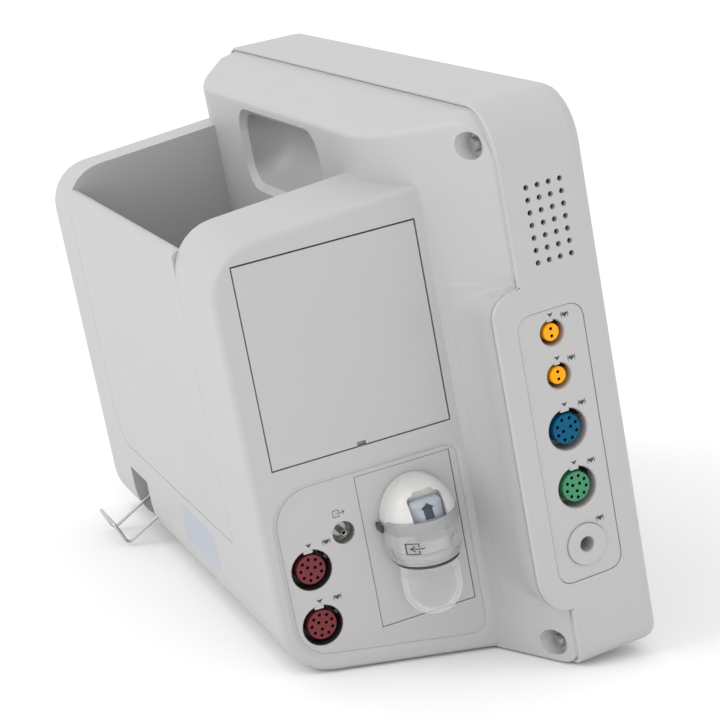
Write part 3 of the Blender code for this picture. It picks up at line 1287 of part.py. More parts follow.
def build_module_bay(shop):
    """The module fascia with its pressure sockets and gas outlet, and the gas module behind its plate."""
    pressure_y = GAS_PLATE_Y + GAS_PLATE_WIDTH + PRESSURE_Y
    outlet_y = GAS_PLATE_Y + GAS_PLATE_WIDTH + OUTLET_Y
    holes = [circle((pressure_y, port.z), port.opening / 2) for port in PRESSURE_PORTS]
    holes.append(circle((outlet_y, OUTLET_Z), OUTLET_OPENING / 2))
    holes.append(rectangle(*gas_plate_corners(GAP)))
    fascia = plate([fascia_outline()] + holes, FASCIA_X, FASCIA_X + FASCIA_THICKNESS, "YZ")
    shop.part("module_fascia", fascia, CASE_PLASTIC)
    for port in PRESSURE_PORTS:
        socket(shop, port, shop.body, FASCIA_X + GAP, pressure_y)

    outer = OUTLET_OPENING / 2 - GAP
    cup = [
        (0.0, PORT_FLOOR),
        (outer - PORT_WALL, PORT_FLOOR),
        (outer - PORT_WALL, OUTLET_DEPTH),
        (outer, OUTLET_DEPTH),
        (outer, 0.0),
        (0.0, 0.0),
    ]
    foot_x = FASCIA_X + GAP + OUTLET_DEPTH
    shop.turned("gas_outlet_cup", cup, DARK_PLASTIC, shop.body, (foot_x, outlet_y, OUTLET_Z), OUTWARD_LEFT)
    nipple = [
        (0.0, NIPPLE_LENGTH),
        (NIPPLE_RADIUS, NIPPLE_LENGTH),
        (NIPPLE_RADIUS, PORT_FLOOR),
        (NIPPLE_BASE, PORT_FLOOR),
        (NIPPLE_BASE, 0.0),
        (0.0, 0.0),
    ]
    place = (foot_x - PORT_FLOOR - GAP, outlet_y, OUTLET_Z)
    shop.turned("gas_outlet_nipple", nipple, STEEL, shop.body, place, OUTWARD_LEFT, SMALL_SIDES)

    back_x = GAS_PLATE_X + GAS_PLATE_THICKNESS
    shop.part("co2_plate", plate([rectangle(*gas_plate_corners())], GAS_PLATE_X, back_x, "YZ"), CASE_PLASTIC)
    low, high = gas_plate_corners(-GAS_MODULE_INSET)
    module_x = back_x + GAP
    module = box((module_x, *low), (module_x + GAS_MODULE_DEPTH, *high))
    shop.part("co2_module", module, ALUMINIUM)


def trap_ring(z, width, reach, back=0.0):
    """A D-shaped ring at height z: flat against the gas plate, flat flanks and a round front."""
    half = width / 2
    flank = min(TRAP_FLANK, reach)
    ring = [(TRAP_BACK_X - back, TRAP_Y + half, z)]
    for step in range(2 * ARC_STEPS + 1):
        angle = math.pi * step / (2 * ARC_STEPS)
        out = flank + (reach - flank) * math.sin(angle)
        ring.append((TRAP_BACK_X - max(out, back), TRAP_Y + half * math.cos(angle), z))
    ring.append((TRAP_BACK_X - back, TRAP_Y - half, z))
    return ring


def dome_rise(z):
    """How much of its full size the dock still has at height z: a quarter ellipse above the shoulder."""
    climb = min(max((z - DOCK_SHOULDER_Z) / DOCK_DOME, 0.0), 1.0)
    return math.sqrt(1 - climb * climb)


def dock_reach(y, z):
    """How far the dock's round front stands out at distance y from its middle and height z."""
    half, reach = DOCK_WIDTH / 2 * dome_rise(z), TRAP_REACH * dome_rise(z)
    return TRAP_FLANK + (reach - TRAP_FLANK) * math.sqrt(1 - (y / half) ** 2)


def build_water_trap(shop):
    """The dock on the gas plate, its latch, and the clear trap that pulls off: cap, seal and cup."""
    arcs = [math.pi / 2 * step / ARC_STEPS for step in range(ARC_STEPS)]
    dome = [DOCK_SHOULDER_Z + max(DOCK_DOME * math.sin(arc), DOME_STEP) for arc in arcs]
    rings = [trap_ring(z, DOCK_WIDTH, TRAP_REACH) for z in (DOCK_FOOT_Z, DOCK_SHOULDER_Z)]
    rings += [trap_ring(z, DOME_WIDTH * dome_rise(z), DOME_REACH * dome_rise(z)) for z in dome]
    dock = shop.part("trap_dock", loft(rings), CASE_PLASTIC)

    back = TRAP_REACH - LATCH_DEPTH
    pocket_half = LATCH_WIDTH / 2 + SLIDE_GAP
    latch_top = LATCH_FOOT_Z + LATCH_HEIGHT
    pocket = box(
        (TRAP_BACK_X - TRAP_REACH - REACH, TRAP_Y - pocket_half, LATCH_FOOT_Z - GAP),
        (TRAP_BACK_X - back + SLIDE_GAP, TRAP_Y + pocket_half, latch_top + LATCH_TRAVEL + LATCH_HEADROOM),
    )
    combine(dock, shop.tool("latch_pocket", pocket))

    half = LATCH_WIDTH / 2
    across = [half * (2 * step / FINE_STEPS - 1) for step in range(FINE_STEPS + 1)]
    rings = []
    for step in range(FINE_STEPS + 1):
        z = LATCH_HEIGHT * step / FINE_STEPS
        front = [(LATCH_SETBACK - dock_reach(y, LATCH_FOOT_Z + z), y, z) for y in across]
        rings.append([(-back, -half, z)] + front + [(-back, half, z)])
    shop.part("trap_latch", loft(rings), LATCH_PLASTIC, place=(TRAP_BACK_X, TRAP_Y, LATCH_FOOT_Z))

    bore_width, bore_reach = DOCK_WIDTH + 2 * SLIDE_GAP, TRAP_REACH + SLIDE_GAP
    wide, far = bore_width + 2 * CAP_WALL, bore_reach + CAP_WALL
    top = DOCK_SHOULDER_Z - GAP
    foot = trap_ring(CAP_FOOT_Z, wide - 2 * CAP_TAPER_INSET, far - CAP_TAPER_INSET)
    rings = [foot] + [trap_ring(z, wide, far) for z in (CAP_FOOT_Z + CAP_TAPER, top)]
    cap = shop.part("trap_cap", loft(rings), CLEAR_PLASTIC)
    floor = DOCK_FOOT_Z - SLIDE_GAP
    space = loft([trap_ring(z, bore_width, bore_reach, -REACH) for z in (floor, top + REACH)])
    combine(cap, shop.tool("cap_space", space))

    outer = [(x, y) for x, y, _ in trap_ring(0.0, SEAL_SPAN, SEAL_REACH, CUP_BACK)]
    inner_width, inner_reach = SEAL_SPAN - 2 * SEAL_WIDTH, SEAL_REACH - SEAL_WIDTH
    inner = [(x, y) for x, y, _ in trap_ring(0.0, inner_width, inner_reach, CUP_BACK + SEAL_WIDTH)]
    shop.part("trap_seal", plate([outer, inner], SEAL_TOP_Z - SEAL_THICKNESS, SEAL_TOP_Z, "XY"), RUBBER)

    cup = shop.part("trap_cup", cup_solid(0.0, CUP_TOP_Z), CLEAR_PLASTIC)
    combine(cup, shop.tool("cup_space", cup_solid(CUP_WALL, CUP_TOP_Z + OVERLAP)))


def cup_solid(inset, top):
    """The cup's outside, or its inside where inset is its wall: D-shaped, with a rounded bottom."""
    arcs = [math.pi / 2 * step / FINE_STEPS for step in range(FINE_STEPS + 1)]
    rings = []
    for arc in arcs:
        draw = inset + CUP_FLOOR_INSET * (1 - math.sin(arc))
        z = CUP_FOOT_Z + inset + (CUP_ROUND - inset) * (1 - math.cos(arc))
        rings.append(trap_ring(z, CUP_WIDTH - 2 * draw, CUP_REACH - draw, CUP_BACK + inset))
    rings.append(trap_ring(top, CUP_WIDTH - 2 * inset, CUP_REACH - inset, CUP_BACK + inset))
    return loft(rings)


def bent(points, radius):
    """The points of a wire's route with each inner corner bent round to a radius."""
    points = [Vector(point) for point in points]
    route = [points[0]]
    for before, corner, after in zip(points, points[1:], points[2:]):
        back, on = (before - corner).normalized(), (after - corner).normalized()
        half = back.angle(on) / 2
        reach = radius / math.tan(half)
        centre = corner + (back + on).normalized() * radius / math.sin(half)
        first = corner + back * reach - centre
        sweep = math.pi - 2 * half
        axis = first.cross(corner + on * reach - centre)
        for step in range(FINE_STEPS + 1):
            route.append(centre + Matrix.Rotation(sweep * step / FINE_STEPS, 3, axis) @ first)
    return route + [points[-1]]


def build_mains_inlet(shop):
    """The mains inlet in its recess, with its pins, and the wire bail that swings round the plug."""
    front = INLET_WALL_Y + GAP
    rear = front + INLET_FLANGE
    flange = inlet_rectangle(INLET_FLANGE_WIDTH, INLET_FLANGE_HEIGHT)
    inlet = shop.part("ac_inlet", plate([flange], front, rear, "XZ"), DARK_PLASTIC)
    outline = inlet_rectangle(INLET_BODY_WIDTH, INLET_BODY_HEIGHT)
    body = plate([outline], rear - INLET_BODY_DEPTH, rear - GAP, "XZ")
    combine(inlet, shop.tool("inlet_body", body), "UNION")
    mouth = inlet_rectangle(INLET_BODY_WIDTH, INLET_BODY_HEIGHT, -INLET_WALL)
    socket_y = rear - INLET_SOCKET_DEPTH
    combine(inlet, shop.tool("inlet_socket", plate([mouth], socket_y, rear + OVERLAP, "XZ")))
    pins = []
    for column in (-1, 0, 1):
        x = INLET_X + INLET_PIN_PITCH * column
        z = INLET_Z + (INLET_EARTH_RISE / 2 if column == 0 else -INLET_EARTH_RISE / 2)
        low = (x - INLET_PIN_WIDTH / 2, socket_y - OVERLAP, z - INLET_PIN_HEIGHT / 2)
        high = (x + INLET_PIN_WIDTH / 2, socket_y + INLET_PIN_LENGTH, z + INLET_PIN_HEIGHT / 2)
        pins.append(box(low, high))
    combine(inlet, shop.tool("inlet_pins", merged(*pins)), "UNION")

    half = BAIL_SPACING / 2
    stub = INLET_RECESS_WIDTH / 2 + BAIL_STUB
    corner = (BAIL_LEG * math.cos(BAIL_HANG), -BAIL_LEG * math.sin(BAIL_HANG))
    rise = BAIL_YOKE_BEND - BAIL_HANG
    tip = (corner[0] + BAIL_YOKE * math.cos(rise), corner[1] + BAIL_YOKE * math.sin(rise))
    right = [(stub, 0.0, 0.0), (half, 0.0, 0.0), (half, *corner), (half, *tip)]
    route = right + [(-x, y, z) for x, y, z in reversed(right)]
    wire = bpy.data.curves.new("cord_bail", "CURVE")
    wire.dimensions = "3D"
    wire.bevel_depth = BAIL_WIRE / 2
    wire.bevel_resolution = WIRE_RESOLUTION
    wire.use_fill_caps = True
    points = bent(route, BAIL_BEND)
    spline = wire.splines.new("POLY")
    spline.points.add(len(points) - 1)
    for place, point in zip(spline.points, points):
        place.co = (*point, 1.0)
    bail = shop.part("cord_bail", wire, STEEL)
    bail.location = (INLET_X, BAIL_Y, BAIL_PIVOT_Z)


def build_base(shop):
    """What lies level with the table: feet, mounting plate, and the heavy pieces on the floor inside."""
    for number, (x, y) in enumerate(foot_points(), start=1):
        pad = rod((0.0, 0.0, 0.0), (0.0, 0.0, FOOT_HEIGHT), FOOT_RADIUS)
        shop.part(f"foot_{number}", pad, RUBBER, shop.base, (x, y, 0.0))
    half_width, half_length = MOUNT_PLATE_WIDTH / 2, MOUNT_PLATE_LENGTH / 2
    pitch = MOUNT_HOLE_PITCH / 2
    holes = [circle((x, y), MOUNT_HOLE_RADIUS, HOLE_SIDES) for x in (-pitch, pitch) for y in (-pitch, pitch)]
    outline = rectangle((-half_width, -half_length), (half_width, half_length))
    shop.part("mount_plate", plate([outline] + holes, 0.0, FOOT_HEIGHT, "XY"), ALUMINIUM, shop.base)

    floor = FLOOR_Z + GAP
    right = INLET_X - INLET_RECESS_WIDTH / 2 - SHELL - SUPPLY_SIDE_GAP
    low = (right - SUPPLY_WIDTH, -SUPPLY_LENGTH / 2, floor)
    high = (right, SUPPLY_LENGTH / 2, floor + SUPPLY_HEIGHT)
    shop.part("power_supply", box(low, high), ALUMINIUM, shop.base)
    height = floor + PUMP_RADIUS
    ends = [(PUMP_X + side * PUMP_LENGTH / 2, PUMP_Y, height) for side in (-1, 1)]
    shop.part("nibp_pump", rod(*ends, PUMP_RADIUS), GREY_PLASTIC, shop.base)


def build_screws(shop):
    """The four screws at the bottom of the counterbores, into the bezel's bosses."""
    seat = CASE_FRONT_Y + COUNTERBORE_FLOOR + GAP
    length = seat - (BEZEL_DEPTH - FLANGE_THICKNESS - SCREW_LENGTH + 2 * OVERLAP)
    profile = [
        (0.0, SCREW_HEAD_HEIGHT),
        (SCREW_HEAD_RADIUS, SCREW_HEAD_HEIGHT),
        (SCREW_HEAD_RADIUS, 0.0),
        (SCREW_RADIUS, 0.0),
        (SCREW_RADIUS, -length),
        (0.0, -length),
    ]
    rearward = (-math.pi / 2, 0.0, 0.0)
    for number, (x, z) in enumerate(screw_points(), start=1):
        shop.turned(f"case_screw_{number}", profile, STEEL, shop.body, (x, seat, z), rearward, SMALL_SIDES)


def main():
    """Build every sub-assembly of the monitor."""
    shop = Workshop()
    build_bezel(shop)
    build_display(shop)
    build_keys(shop)
    build_chassis(shop)
    build_ports(shop)
    build_rear_case(shop)
    build_rear_panel(shop)
    build_battery_bay(shop)
    build_module_bay(shop)
    build_water_trap(shop)
    build_mains_inlet(shop)
    build_base(shop)
    build_screws(shop)


main()
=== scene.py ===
"""Dresses the bedside patient monitor for its portrait.

Shapes are worked out in the leaning body's own frame (X to the right of a person who faces the screen, Y from
the screen to the rear, Z up along the screen, in metres) and are carried into the world by Seat.world.
"""

from __future__ import annotations

import logging
import math
from dataclasses import dataclass, field
from enum import Enum

import bmesh
import bpy
import numpy as np
from mathutils import Matrix, Vector
from mathutils.geometry import delaunay_2d_cdt


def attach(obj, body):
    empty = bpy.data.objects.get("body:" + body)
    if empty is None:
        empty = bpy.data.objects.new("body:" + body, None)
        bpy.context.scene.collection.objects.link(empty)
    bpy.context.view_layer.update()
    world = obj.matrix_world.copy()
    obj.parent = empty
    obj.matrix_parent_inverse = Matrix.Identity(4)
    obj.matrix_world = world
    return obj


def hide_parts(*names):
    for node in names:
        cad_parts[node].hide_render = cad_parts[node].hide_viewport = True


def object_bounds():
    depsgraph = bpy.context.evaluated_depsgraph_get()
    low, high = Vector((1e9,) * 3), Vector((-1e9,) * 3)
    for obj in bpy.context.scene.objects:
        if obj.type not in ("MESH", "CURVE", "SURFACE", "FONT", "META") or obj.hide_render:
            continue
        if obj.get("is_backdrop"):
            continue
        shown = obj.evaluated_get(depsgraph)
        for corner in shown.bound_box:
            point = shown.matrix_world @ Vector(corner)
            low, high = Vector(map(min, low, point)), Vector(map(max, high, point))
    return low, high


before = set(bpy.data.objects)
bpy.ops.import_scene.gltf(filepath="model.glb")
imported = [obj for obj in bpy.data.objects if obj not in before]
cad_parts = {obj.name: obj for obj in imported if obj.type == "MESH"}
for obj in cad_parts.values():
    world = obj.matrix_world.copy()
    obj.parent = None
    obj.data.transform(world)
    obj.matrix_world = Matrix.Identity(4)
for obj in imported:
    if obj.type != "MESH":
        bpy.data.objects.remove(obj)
CAD_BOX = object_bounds()
LOG = logging.getLogger("monitor")
Colour = tuple[float, float, float]
Triple = tuple[float, float, float]
Pair = tuple[float, float]


class Body(Enum):
    """The bodies that pieces ride on."""

    MONITOR = "monitor"
    DOOR = "battery_door"
    TRAP = "water_trap"
    LATCH = "trap_latch"
    BAIL = "cord_bail"
    KNOB = "rotary_knob"
    POWER_KEY = "power_key"
    KEY_1 = "function_key_1"
    KEY_2 = "function_key_2"
    KEY_3 = "function_key_3"
    KEY_4 = "function_key_4"


class Slot(Enum):
    """The record's material slots, one passed along with each new piece."""

    CASE = "case_plastic"
    DARK = "dark_plastic"
    GREY = "grey_plastic"
    CLEAR = "clear_plastic"
    LATCH = "latch_plastic"
    ORANGE = "orange_plastic"
    BLUE = "blue_plastic"
    GREEN = "green_plastic"
    MAROON = "maroon_plastic"
    AMBER = "amber_lens"
    GLASS = "screen_glass"
    STEEL = "steel"
    RUBBER = "rubber"


# Shader graphs


class Signal:
    """One output of a shader graph, with arithmetic that adds Math nodes."""

    def __init__(self, graph: "Graph", socket: bpy.types.NodeSocket) -> None:
        """Keep the graph and the socket."""
        self.graph = graph
        self.socket = socket

    def _math(self, operation: str, first: object, second: object) -> "Signal":
        """Add one Math node.

        Args:
            operation: the Math node's operation.
            first: its first value or signal.
            second: its second value or signal.

        Returns:
            The node's result.
        """
        return self.graph.node("ShaderNodeMath", {"operation": operation}, {0: first, 1: second})

    def __add__(self, other: object) -> "Signal":
        """This plus other."""
        return self._math("ADD", self, other)

    def __radd__(self, other: object) -> "Signal":
        """Other plus this."""
        return self._math("ADD", other, self)

    def __sub__(self, other: object) -> "Signal":
        """This minus other."""
        return self._math("SUBTRACT", self, other)

    def __rsub__(self, other: object) -> "Signal":
        """Other minus this."""
        return self._math("SUBTRACT", other, self)

    def __mul__(self, other: object) -> "Signal":
        """This times other."""
        return self._math("MULTIPLY", self, other)

    def __rmul__(self, other: object) -> "Signal":
        """Other times this."""
        return self._math("MULTIPLY", other, self)

    def __pow__(self, other: object) -> "Signal":
        """This to the power of other."""
        return self._math("POWER", self, other)

    def above(self, level: float) -> "Signal":
        """One where this is above a level, and zero elsewhere."""
        return self._math("GREATER_THAN", self, level)


class Graph:
    """A new material and the nodes in it."""

    def __init__(self, name: str) -> None:
        """Make an empty node material.

        Args:
            name: its name.
        """
        self.material = bpy.data.materials.new(name)
        self.material.use_nodes = True
        self.tree = self.material.node_tree
        self.tree.nodes.clear()

    def node(self, kind: str, settings: dict, inputs: dict, output: object = 0) -> Signal:
        """Add any node.

        Args:
            kind: the node's type.
            settings: its settings, set before its sockets.
            inputs: the values or signals of its sockets, by name or number.
            output: the name or number of the socket to return.

        Returns:
            The chosen output.
        """
        made = self.tree.nodes.new(kind)
        for key, value in settings.items():
            setattr(made, key, value)
        for key, value in inputs.items():
            if isinstance(value, Signal):
                self.tree.links.new(value.socket, made.inputs[key])
            else:
                made.inputs[key].default_value = value
        return Signal(self, made.outputs[output])

    def place(self, turn: Triple = (0.0, 0.0, 0.0), stretch: Triple = (1.0, 1.0, 1.0)) -> Signal:
        """Object coordinates, turned and stretched.

        Args:
            turn: the turn about each axis.
            stretch: the scale along each axis.

        Returns:
            The coordinates.
        """
        here = self.node("ShaderNodeTexCoord", {}, {}, "Object")
        return self.node("ShaderNodeMapping", {}, {"Vector": here, "Rotation": turn, "Scale": stretch})

    def noise(self, where: Signal, scale: float, detail: float = 2.0, roughness: float = 0.55) -> Signal:
        """Noise from 0 to 1 at a number of waves per metre."""
        inputs = {"Vector": where, "Scale": scale, "Detail": detail, "Roughness": roughness}
        return self.node("ShaderNodeTexNoise", {}, inputs, "Fac")

    def mix(self, factor: object, first: object, second: object) -> Signal:
        """Mix two colours.

        Args:
            factor: how much of the second.
            first: a colour or signal.
            second: a colour or signal.

        Returns:
            The mixed colour.
        """
        ends = [(*end, 1.0) if isinstance(end, tuple) else end for end in (first, second)]
        inputs = {0: factor, 6: ends[0], 7: ends[1]}
        return self.node("ShaderNodeMix", {"data_type": "RGBA"}, inputs, 2)

    def bump(self, height: Signal, strength: float, distance: float) -> Signal:
        """A surface normal from a height, in metres at full strength."""
        inputs = {"Height": height, "Strength": strength, "Distance": distance}
        return self.node("ShaderNodeBump", {}, inputs)

    def principled(self, inputs: dict) -> Signal:
        """Add a Principled shader with these sockets."""
        return self.node("ShaderNodeBsdfPrincipled", {}, inputs)

    def end(self, shader: Signal) -> bpy.types.Material:
        """End the graph in a shader.

        Args:
            shader: what is linked to the material's output.

        Returns:
            The material.
        """
        made = self.tree.nodes.new("ShaderNodeOutputMaterial")
        self.tree.links.new(shader.socket, made.inputs["Surface"])
        return self.material

    def finish(self, inputs: dict) -> bpy.types.Material:
        """End the graph in one Principled shader with these sockets."""
        return self.end(self.principled(inputs))


# Finishes


@dataclass(frozen=True)
class Finish:
    """What every finish has: a name and one material, made once."""

    name: str

    def material(self) -> bpy.types.Material:
        """The finish's material, made at its first use."""
        return bpy.data.materials.get(self.name) or self.build(Graph(self.name))

    def build(self, graph: Graph) -> bpy.types.Material:
        """Make the material in a graph."""
        raise NotImplementedError


@dataclass(frozen=True)
class Moulded(Finish):
    """Injection-moulded plastic: a fine eroded grain, a faint mottle and faint handling marks."""

    tone: Colour
    roughness: float = 0.46
    grain: float = 2600.0
    depth: float = 0.00003
    mottle: float = 0.05
    coat: float = 0.0
    gloss: float = 0.5
    clouds: float = 9.0
    cloud_share: float = 0.7
    patches: float = 24.0
    patch_gloss: float = 0.1
    bumpiness: float = 0.5
    coat_roughness: float = 0.15

    def build(self, graph: Graph) -> bpy.types.Material:
        """Make the material: grain bumps, mottled colour and patchy gloss.

        Args:
            graph: the empty graph.

        Returns:
            The material.
        """
        here = graph.place()
        broad = graph.noise(here, self.clouds, 3.0)
        speck = graph.noise(here, self.grain / 2)
        shade = broad * self.cloud_share + speck * (1.0 - self.cloud_share)
        low = tuple(channel * (1.0 - self.mottle) for channel in self.tone)
        high = tuple(min(channel * (1.0 + self.mottle), 1.0) for channel in self.tone)
        grain = graph.noise(here, self.grain, 3.0)
        patch = graph.noise(here, self.patches)
        return graph.finish(
            {
                "Base Color": graph.mix(shade, low, high),
                "Roughness": patch * self.patch_gloss + (self.roughness - self.patch_gloss / 2),
                "Normal": graph.bump(grain, self.bumpiness, self.depth),
                "Specular IOR Level": self.gloss,
                "Coat Weight": self.coat,
                "Coat Roughness": self.coat_roughness,
            }
        )


@dataclass(frozen=True)
class Clear(Finish):
    """Clear moulded plastic: most light passes straight through, edges mirror, with haze and fine scuffs."""

    body: float = 0.015
    edge: float = 0.8
    tone: Colour = (0.94, 0.95, 0.96)
    tint: Colour = (0.992, 0.994, 0.995)
    mirror: float = 1.0
    roughness: float = 0.03
    painted_wall_line: float = 0.0
    line_at: float = 0.46
    line_narrow: float = 320.0
    edge_power: float = 2.5
    haze_held: float = 0.03
    haze: float = 120.0
    haze_gloss: float = 0.05
    haze_depth: float = 0.0003
    haze_bumpiness: float = 0.12
    scuff_turn: Triple = (0.3, 0.2, 0.9)
    scuff_stretch: Triple = (900.0, 90.0, 900.0)
    scuff_gloss: float = 0.04
    glow: float = 1.06
    brightest: float = 0.99

    def build(self, graph: Graph) -> bpy.types.Material:
        """Make the material: a clear and a glossy shader mixed by the angle to the surface and by haze.

        A narrow bell of that angle mixes in more of the glossy shader, a painted reflection line where the
        inner face of a clear wall would show; the surface has no inner wall.

        Args:
            graph: the empty graph.

        Returns:
            The material.
        """
        bright = tuple(min(channel * self.glow, self.brightest) for channel in self.tone)
        haze = graph.noise(graph.place(), self.haze, 3.0)
        scuff = graph.noise(graph.place(self.scuff_turn, self.scuff_stretch), 1.0)
        facing = graph.node("ShaderNodeLayerWeight", {}, {"Blend": 0.5}, "Facing")
        # Painted reflection line: a bell of the facing angle adds mirror where an inner wall's face would
        # show.
        painted_line_falloff = (facing - self.line_at) * (facing - self.line_at) * self.line_narrow
        line = graph.node("ShaderNodeMath", {"operation": "EXPONENT"}, {0: painted_line_falloff * -1.0})
        held = facing**self.edge_power * self.edge + line * self.painted_wall_line
        held = held + haze * self.haze_held + self.body
        through = graph.node("ShaderNodeBsdfTransparent", {}, {"Color": (*self.tint, 1.0)})
        surface = graph.principled(
            {
                "Base Color": graph.mix(haze, self.tone, bright),
                "Metallic": self.mirror,
                "Roughness": haze * self.haze_gloss + scuff * self.scuff_gloss + self.roughness,
                "Normal": graph.bump(haze, self.haze_bumpiness, self.haze_depth),
            }
        )
        return graph.end(graph.node("ShaderNodeMixShader", {}, {0: held, 1: through, 2: surface}))


@dataclass(frozen=True)
class Drawn(Finish):
    """Bright drawn or turned metal with fine lines along it."""

    tone: Colour
    roughness: float = 0.24
    stretch: Triple = (4000.0, 300.0, 300.0)
    clouds: float = 60.0
    dulling: float = 0.8
    line_gloss: float = 0.16
    gloss_shift: float = 0.05
    bumpiness: float = 0.25
    depth: float = 0.00002

    def build(self, graph: Graph) -> bpy.types.Material:
        """Make the material: stretched noise in the gloss, the colour and the bumps.

        Args:
            graph: the empty graph.

        Returns:
            The material.
        """
        lines = graph.noise(graph.place((0.0, 0.0, 0.0), self.stretch), 1.0, 3.0)
        cloud = graph.noise(graph.place(), self.clouds)
        dull = tuple(channel * self.dulling for channel in self.tone)
        return graph.finish(
            {
                "Base Color": graph.mix(cloud, dull, self.tone),
                "Metallic": 1.0,
                "Roughness": lines * self.line_gloss + (self.roughness - self.gloss_shift),
                "Normal": graph.bump(lines, self.bumpiness, self.depth),
            }
        )


@dataclass(frozen=True)
class Soft(Finish):
    """Matt rubber with a dusty bloom."""

    tone: Colour = (0.035, 0.035, 0.037)
    dust: float = 0.03
    blooms: float = 160.0
    bloom_gloss: float = 0.2
    roughness: float = 0.62
    pebbles: float = 3200.0
    bumpiness: float = 0.6
    depth: float = 0.00004

    def build(self, graph: Graph) -> bpy.types.Material:
        """Make the material: a bloom over a fine pebbled grain.

        Args:
            graph: the empty graph.

        Returns:
            The material.
        """
        here = graph.place()
        bloom = graph.noise(here, self.blooms, 3.0)
        pebble = graph.noise(here, self.pebbles)
        dusty = tuple(channel + self.dust for channel in self.tone)
        return graph.finish(
            {
                "Base Color": graph.mix(bloom, self.tone, dusty),
                "Roughness": bloom * self.bloom_gloss + self.roughness,
                "Normal": graph.bump(pebble, self.bumpiness, self.depth),
            }
        )


@dataclass(frozen=True)
class Pane(Finish):
    """Touch glass over a dark display: a black printed border round a faintly lighter picture area."""

    half_width: float
    foot: float
    head: float
    lean: float
    border: Colour = (0.004, 0.004, 0.005)
    picture: Colour = (0.012, 0.014, 0.018)
    roughness: float = 0.03
    coat: float = 0.6
    smear_turn: Triple = (0.2, 0.4, 0.3)
    smear_stretch: Triple = (14.0, 14.0, 40.0)
    smear_gloss: float = 0.1
    bumpiness: float = 0.02
    depth: float = 0.0002

    def build(self, graph: Graph) -> bpy.types.Material:
        """Make the material: the border is a step in the leaning frame's X and Z.

        Args:
            graph: the empty graph.

        Returns:
            The material.
        """
        here = graph.place((-self.lean, 0.0, 0.0))
        split = {"Vector": here}
        across = graph.node("ShaderNodeSeparateXYZ", {}, split, "X")
        up = graph.node("ShaderNodeSeparateXYZ", {}, split, "Z")
        inside = (across + self.half_width).above(0.0) * (self.half_width - across).above(0.0)
        inside = inside * (up - self.foot).above(0.0) * (self.head - up).above(0.0)
        smear = graph.noise(graph.place(self.smear_turn, self.smear_stretch), 1.0, 4.0)
        return graph.finish(
            {
                "Base Color": graph.mix(inside, self.border, self.picture),
                "Roughness": smear * self.smear_gloss + self.roughness,
                "Coat Weight": self.coat,
                "Coat Roughness": self.roughness,
                "Normal": graph.bump(smear, self.bumpiness, self.depth),
            }
        )


@dataclass(frozen=True)
class Circuit(Finish):
    """A coated circuit board with a faint pattern of tracks."""

    tone: Colour = (0.015, 0.13, 0.055)
    brighter: float = 1.7
    clouds: float = 90.0
    cloud_gloss: float = 0.15
    roughness: float = 0.3
    bumpiness: float = 0.3
    depth: float = 0.00004

    def build(self, graph: Graph) -> bpy.types.Material:
        """Make the material: brick-like tracks under a glossy mask.

        Args:
            graph: the empty graph.

        Returns:
            The material.
        """
        here = graph.place((math.pi / 2, 0.0, 0.0))
        settings = {"offset": 0.37, "squash": 0.6, "squash_frequency": 3}
        inputs = {"Vector": here, "Scale": 60.0, "Mortar Size": 0.03, "Brick Width": 0.7, "Row Height": 0.22}
        tracks = graph.node("ShaderNodeTexBrick", settings, inputs, "Fac")
        cloud = graph.noise(here, self.clouds)
        light = tuple(channel * self.brighter for channel in self.tone)
        return graph.finish(
            {
                "Base Color": graph.mix(tracks, self.tone, light),
                "Roughness": cloud * self.cloud_gloss + self.roughness,
                "Normal": graph.bump(tracks, self.bumpiness, self.depth),
            }
        )


@dataclass(frozen=True)
class Printed(Finish):
    """Ink or film on plastic: an even tone with a faint screen texture."""

    tone: Colour
    roughness: float = 0.5
    dots: float = 5200.0
    dot_gloss: float = 0.12
    clouds: float = 40.0
    wear: float = 1.12
    wear_lift: float = 0.01
    bumpiness: float = 0.15
    depth: float = 0.00001

    def build(self, graph: Graph) -> bpy.types.Material:
        """Make the material: fine dots in the tone and the gloss.

        Args:
            graph: the empty graph.

        Returns:
            The material.
        """
        here = graph.place()
        dots = graph.noise(here, self.dots, 1.0)
        cloud = graph.noise(here, self.clouds, 3.0)
        worn = tuple(min(channel * self.wear + self.wear_lift, 1.0) for channel in self.tone)
        return graph.finish(
            {
                "Base Color": graph.mix(cloud, self.tone, worn),
                "Roughness": dots * self.dot_gloss + (self.roughness - self.dot_gloss / 2),
                "Normal": graph.bump(dots, self.bumpiness, self.depth),
            }
        )


CASE = Moulded("case_plastic_white", (0.452, 0.446, 0.445))
PALE = Moulded("dock_plastic_white", (0.60, 0.595, 0.58), roughness=0.26, depth=0.00001, mottle=0.02)
# Near-black plastic; the same finish is also painted shade in the contact holes, the nipple's bore and the
# block at the dome's shoulder.
DARK = Moulded("socket_black_and_painted_shade", (0.026, 0.023, 0.023), roughness=0.26, depth=0.00001)
# The T sleeves' tan is painted orange bounce light: the sleeves are white plastic, tinted as the orange core
# lights them.
ORANGE_BOUNCE_TAN = Moulded("socket_painted_orange_bounce", (0.36, 0.28, 0.21), roughness=0.4, depth=0.00002)
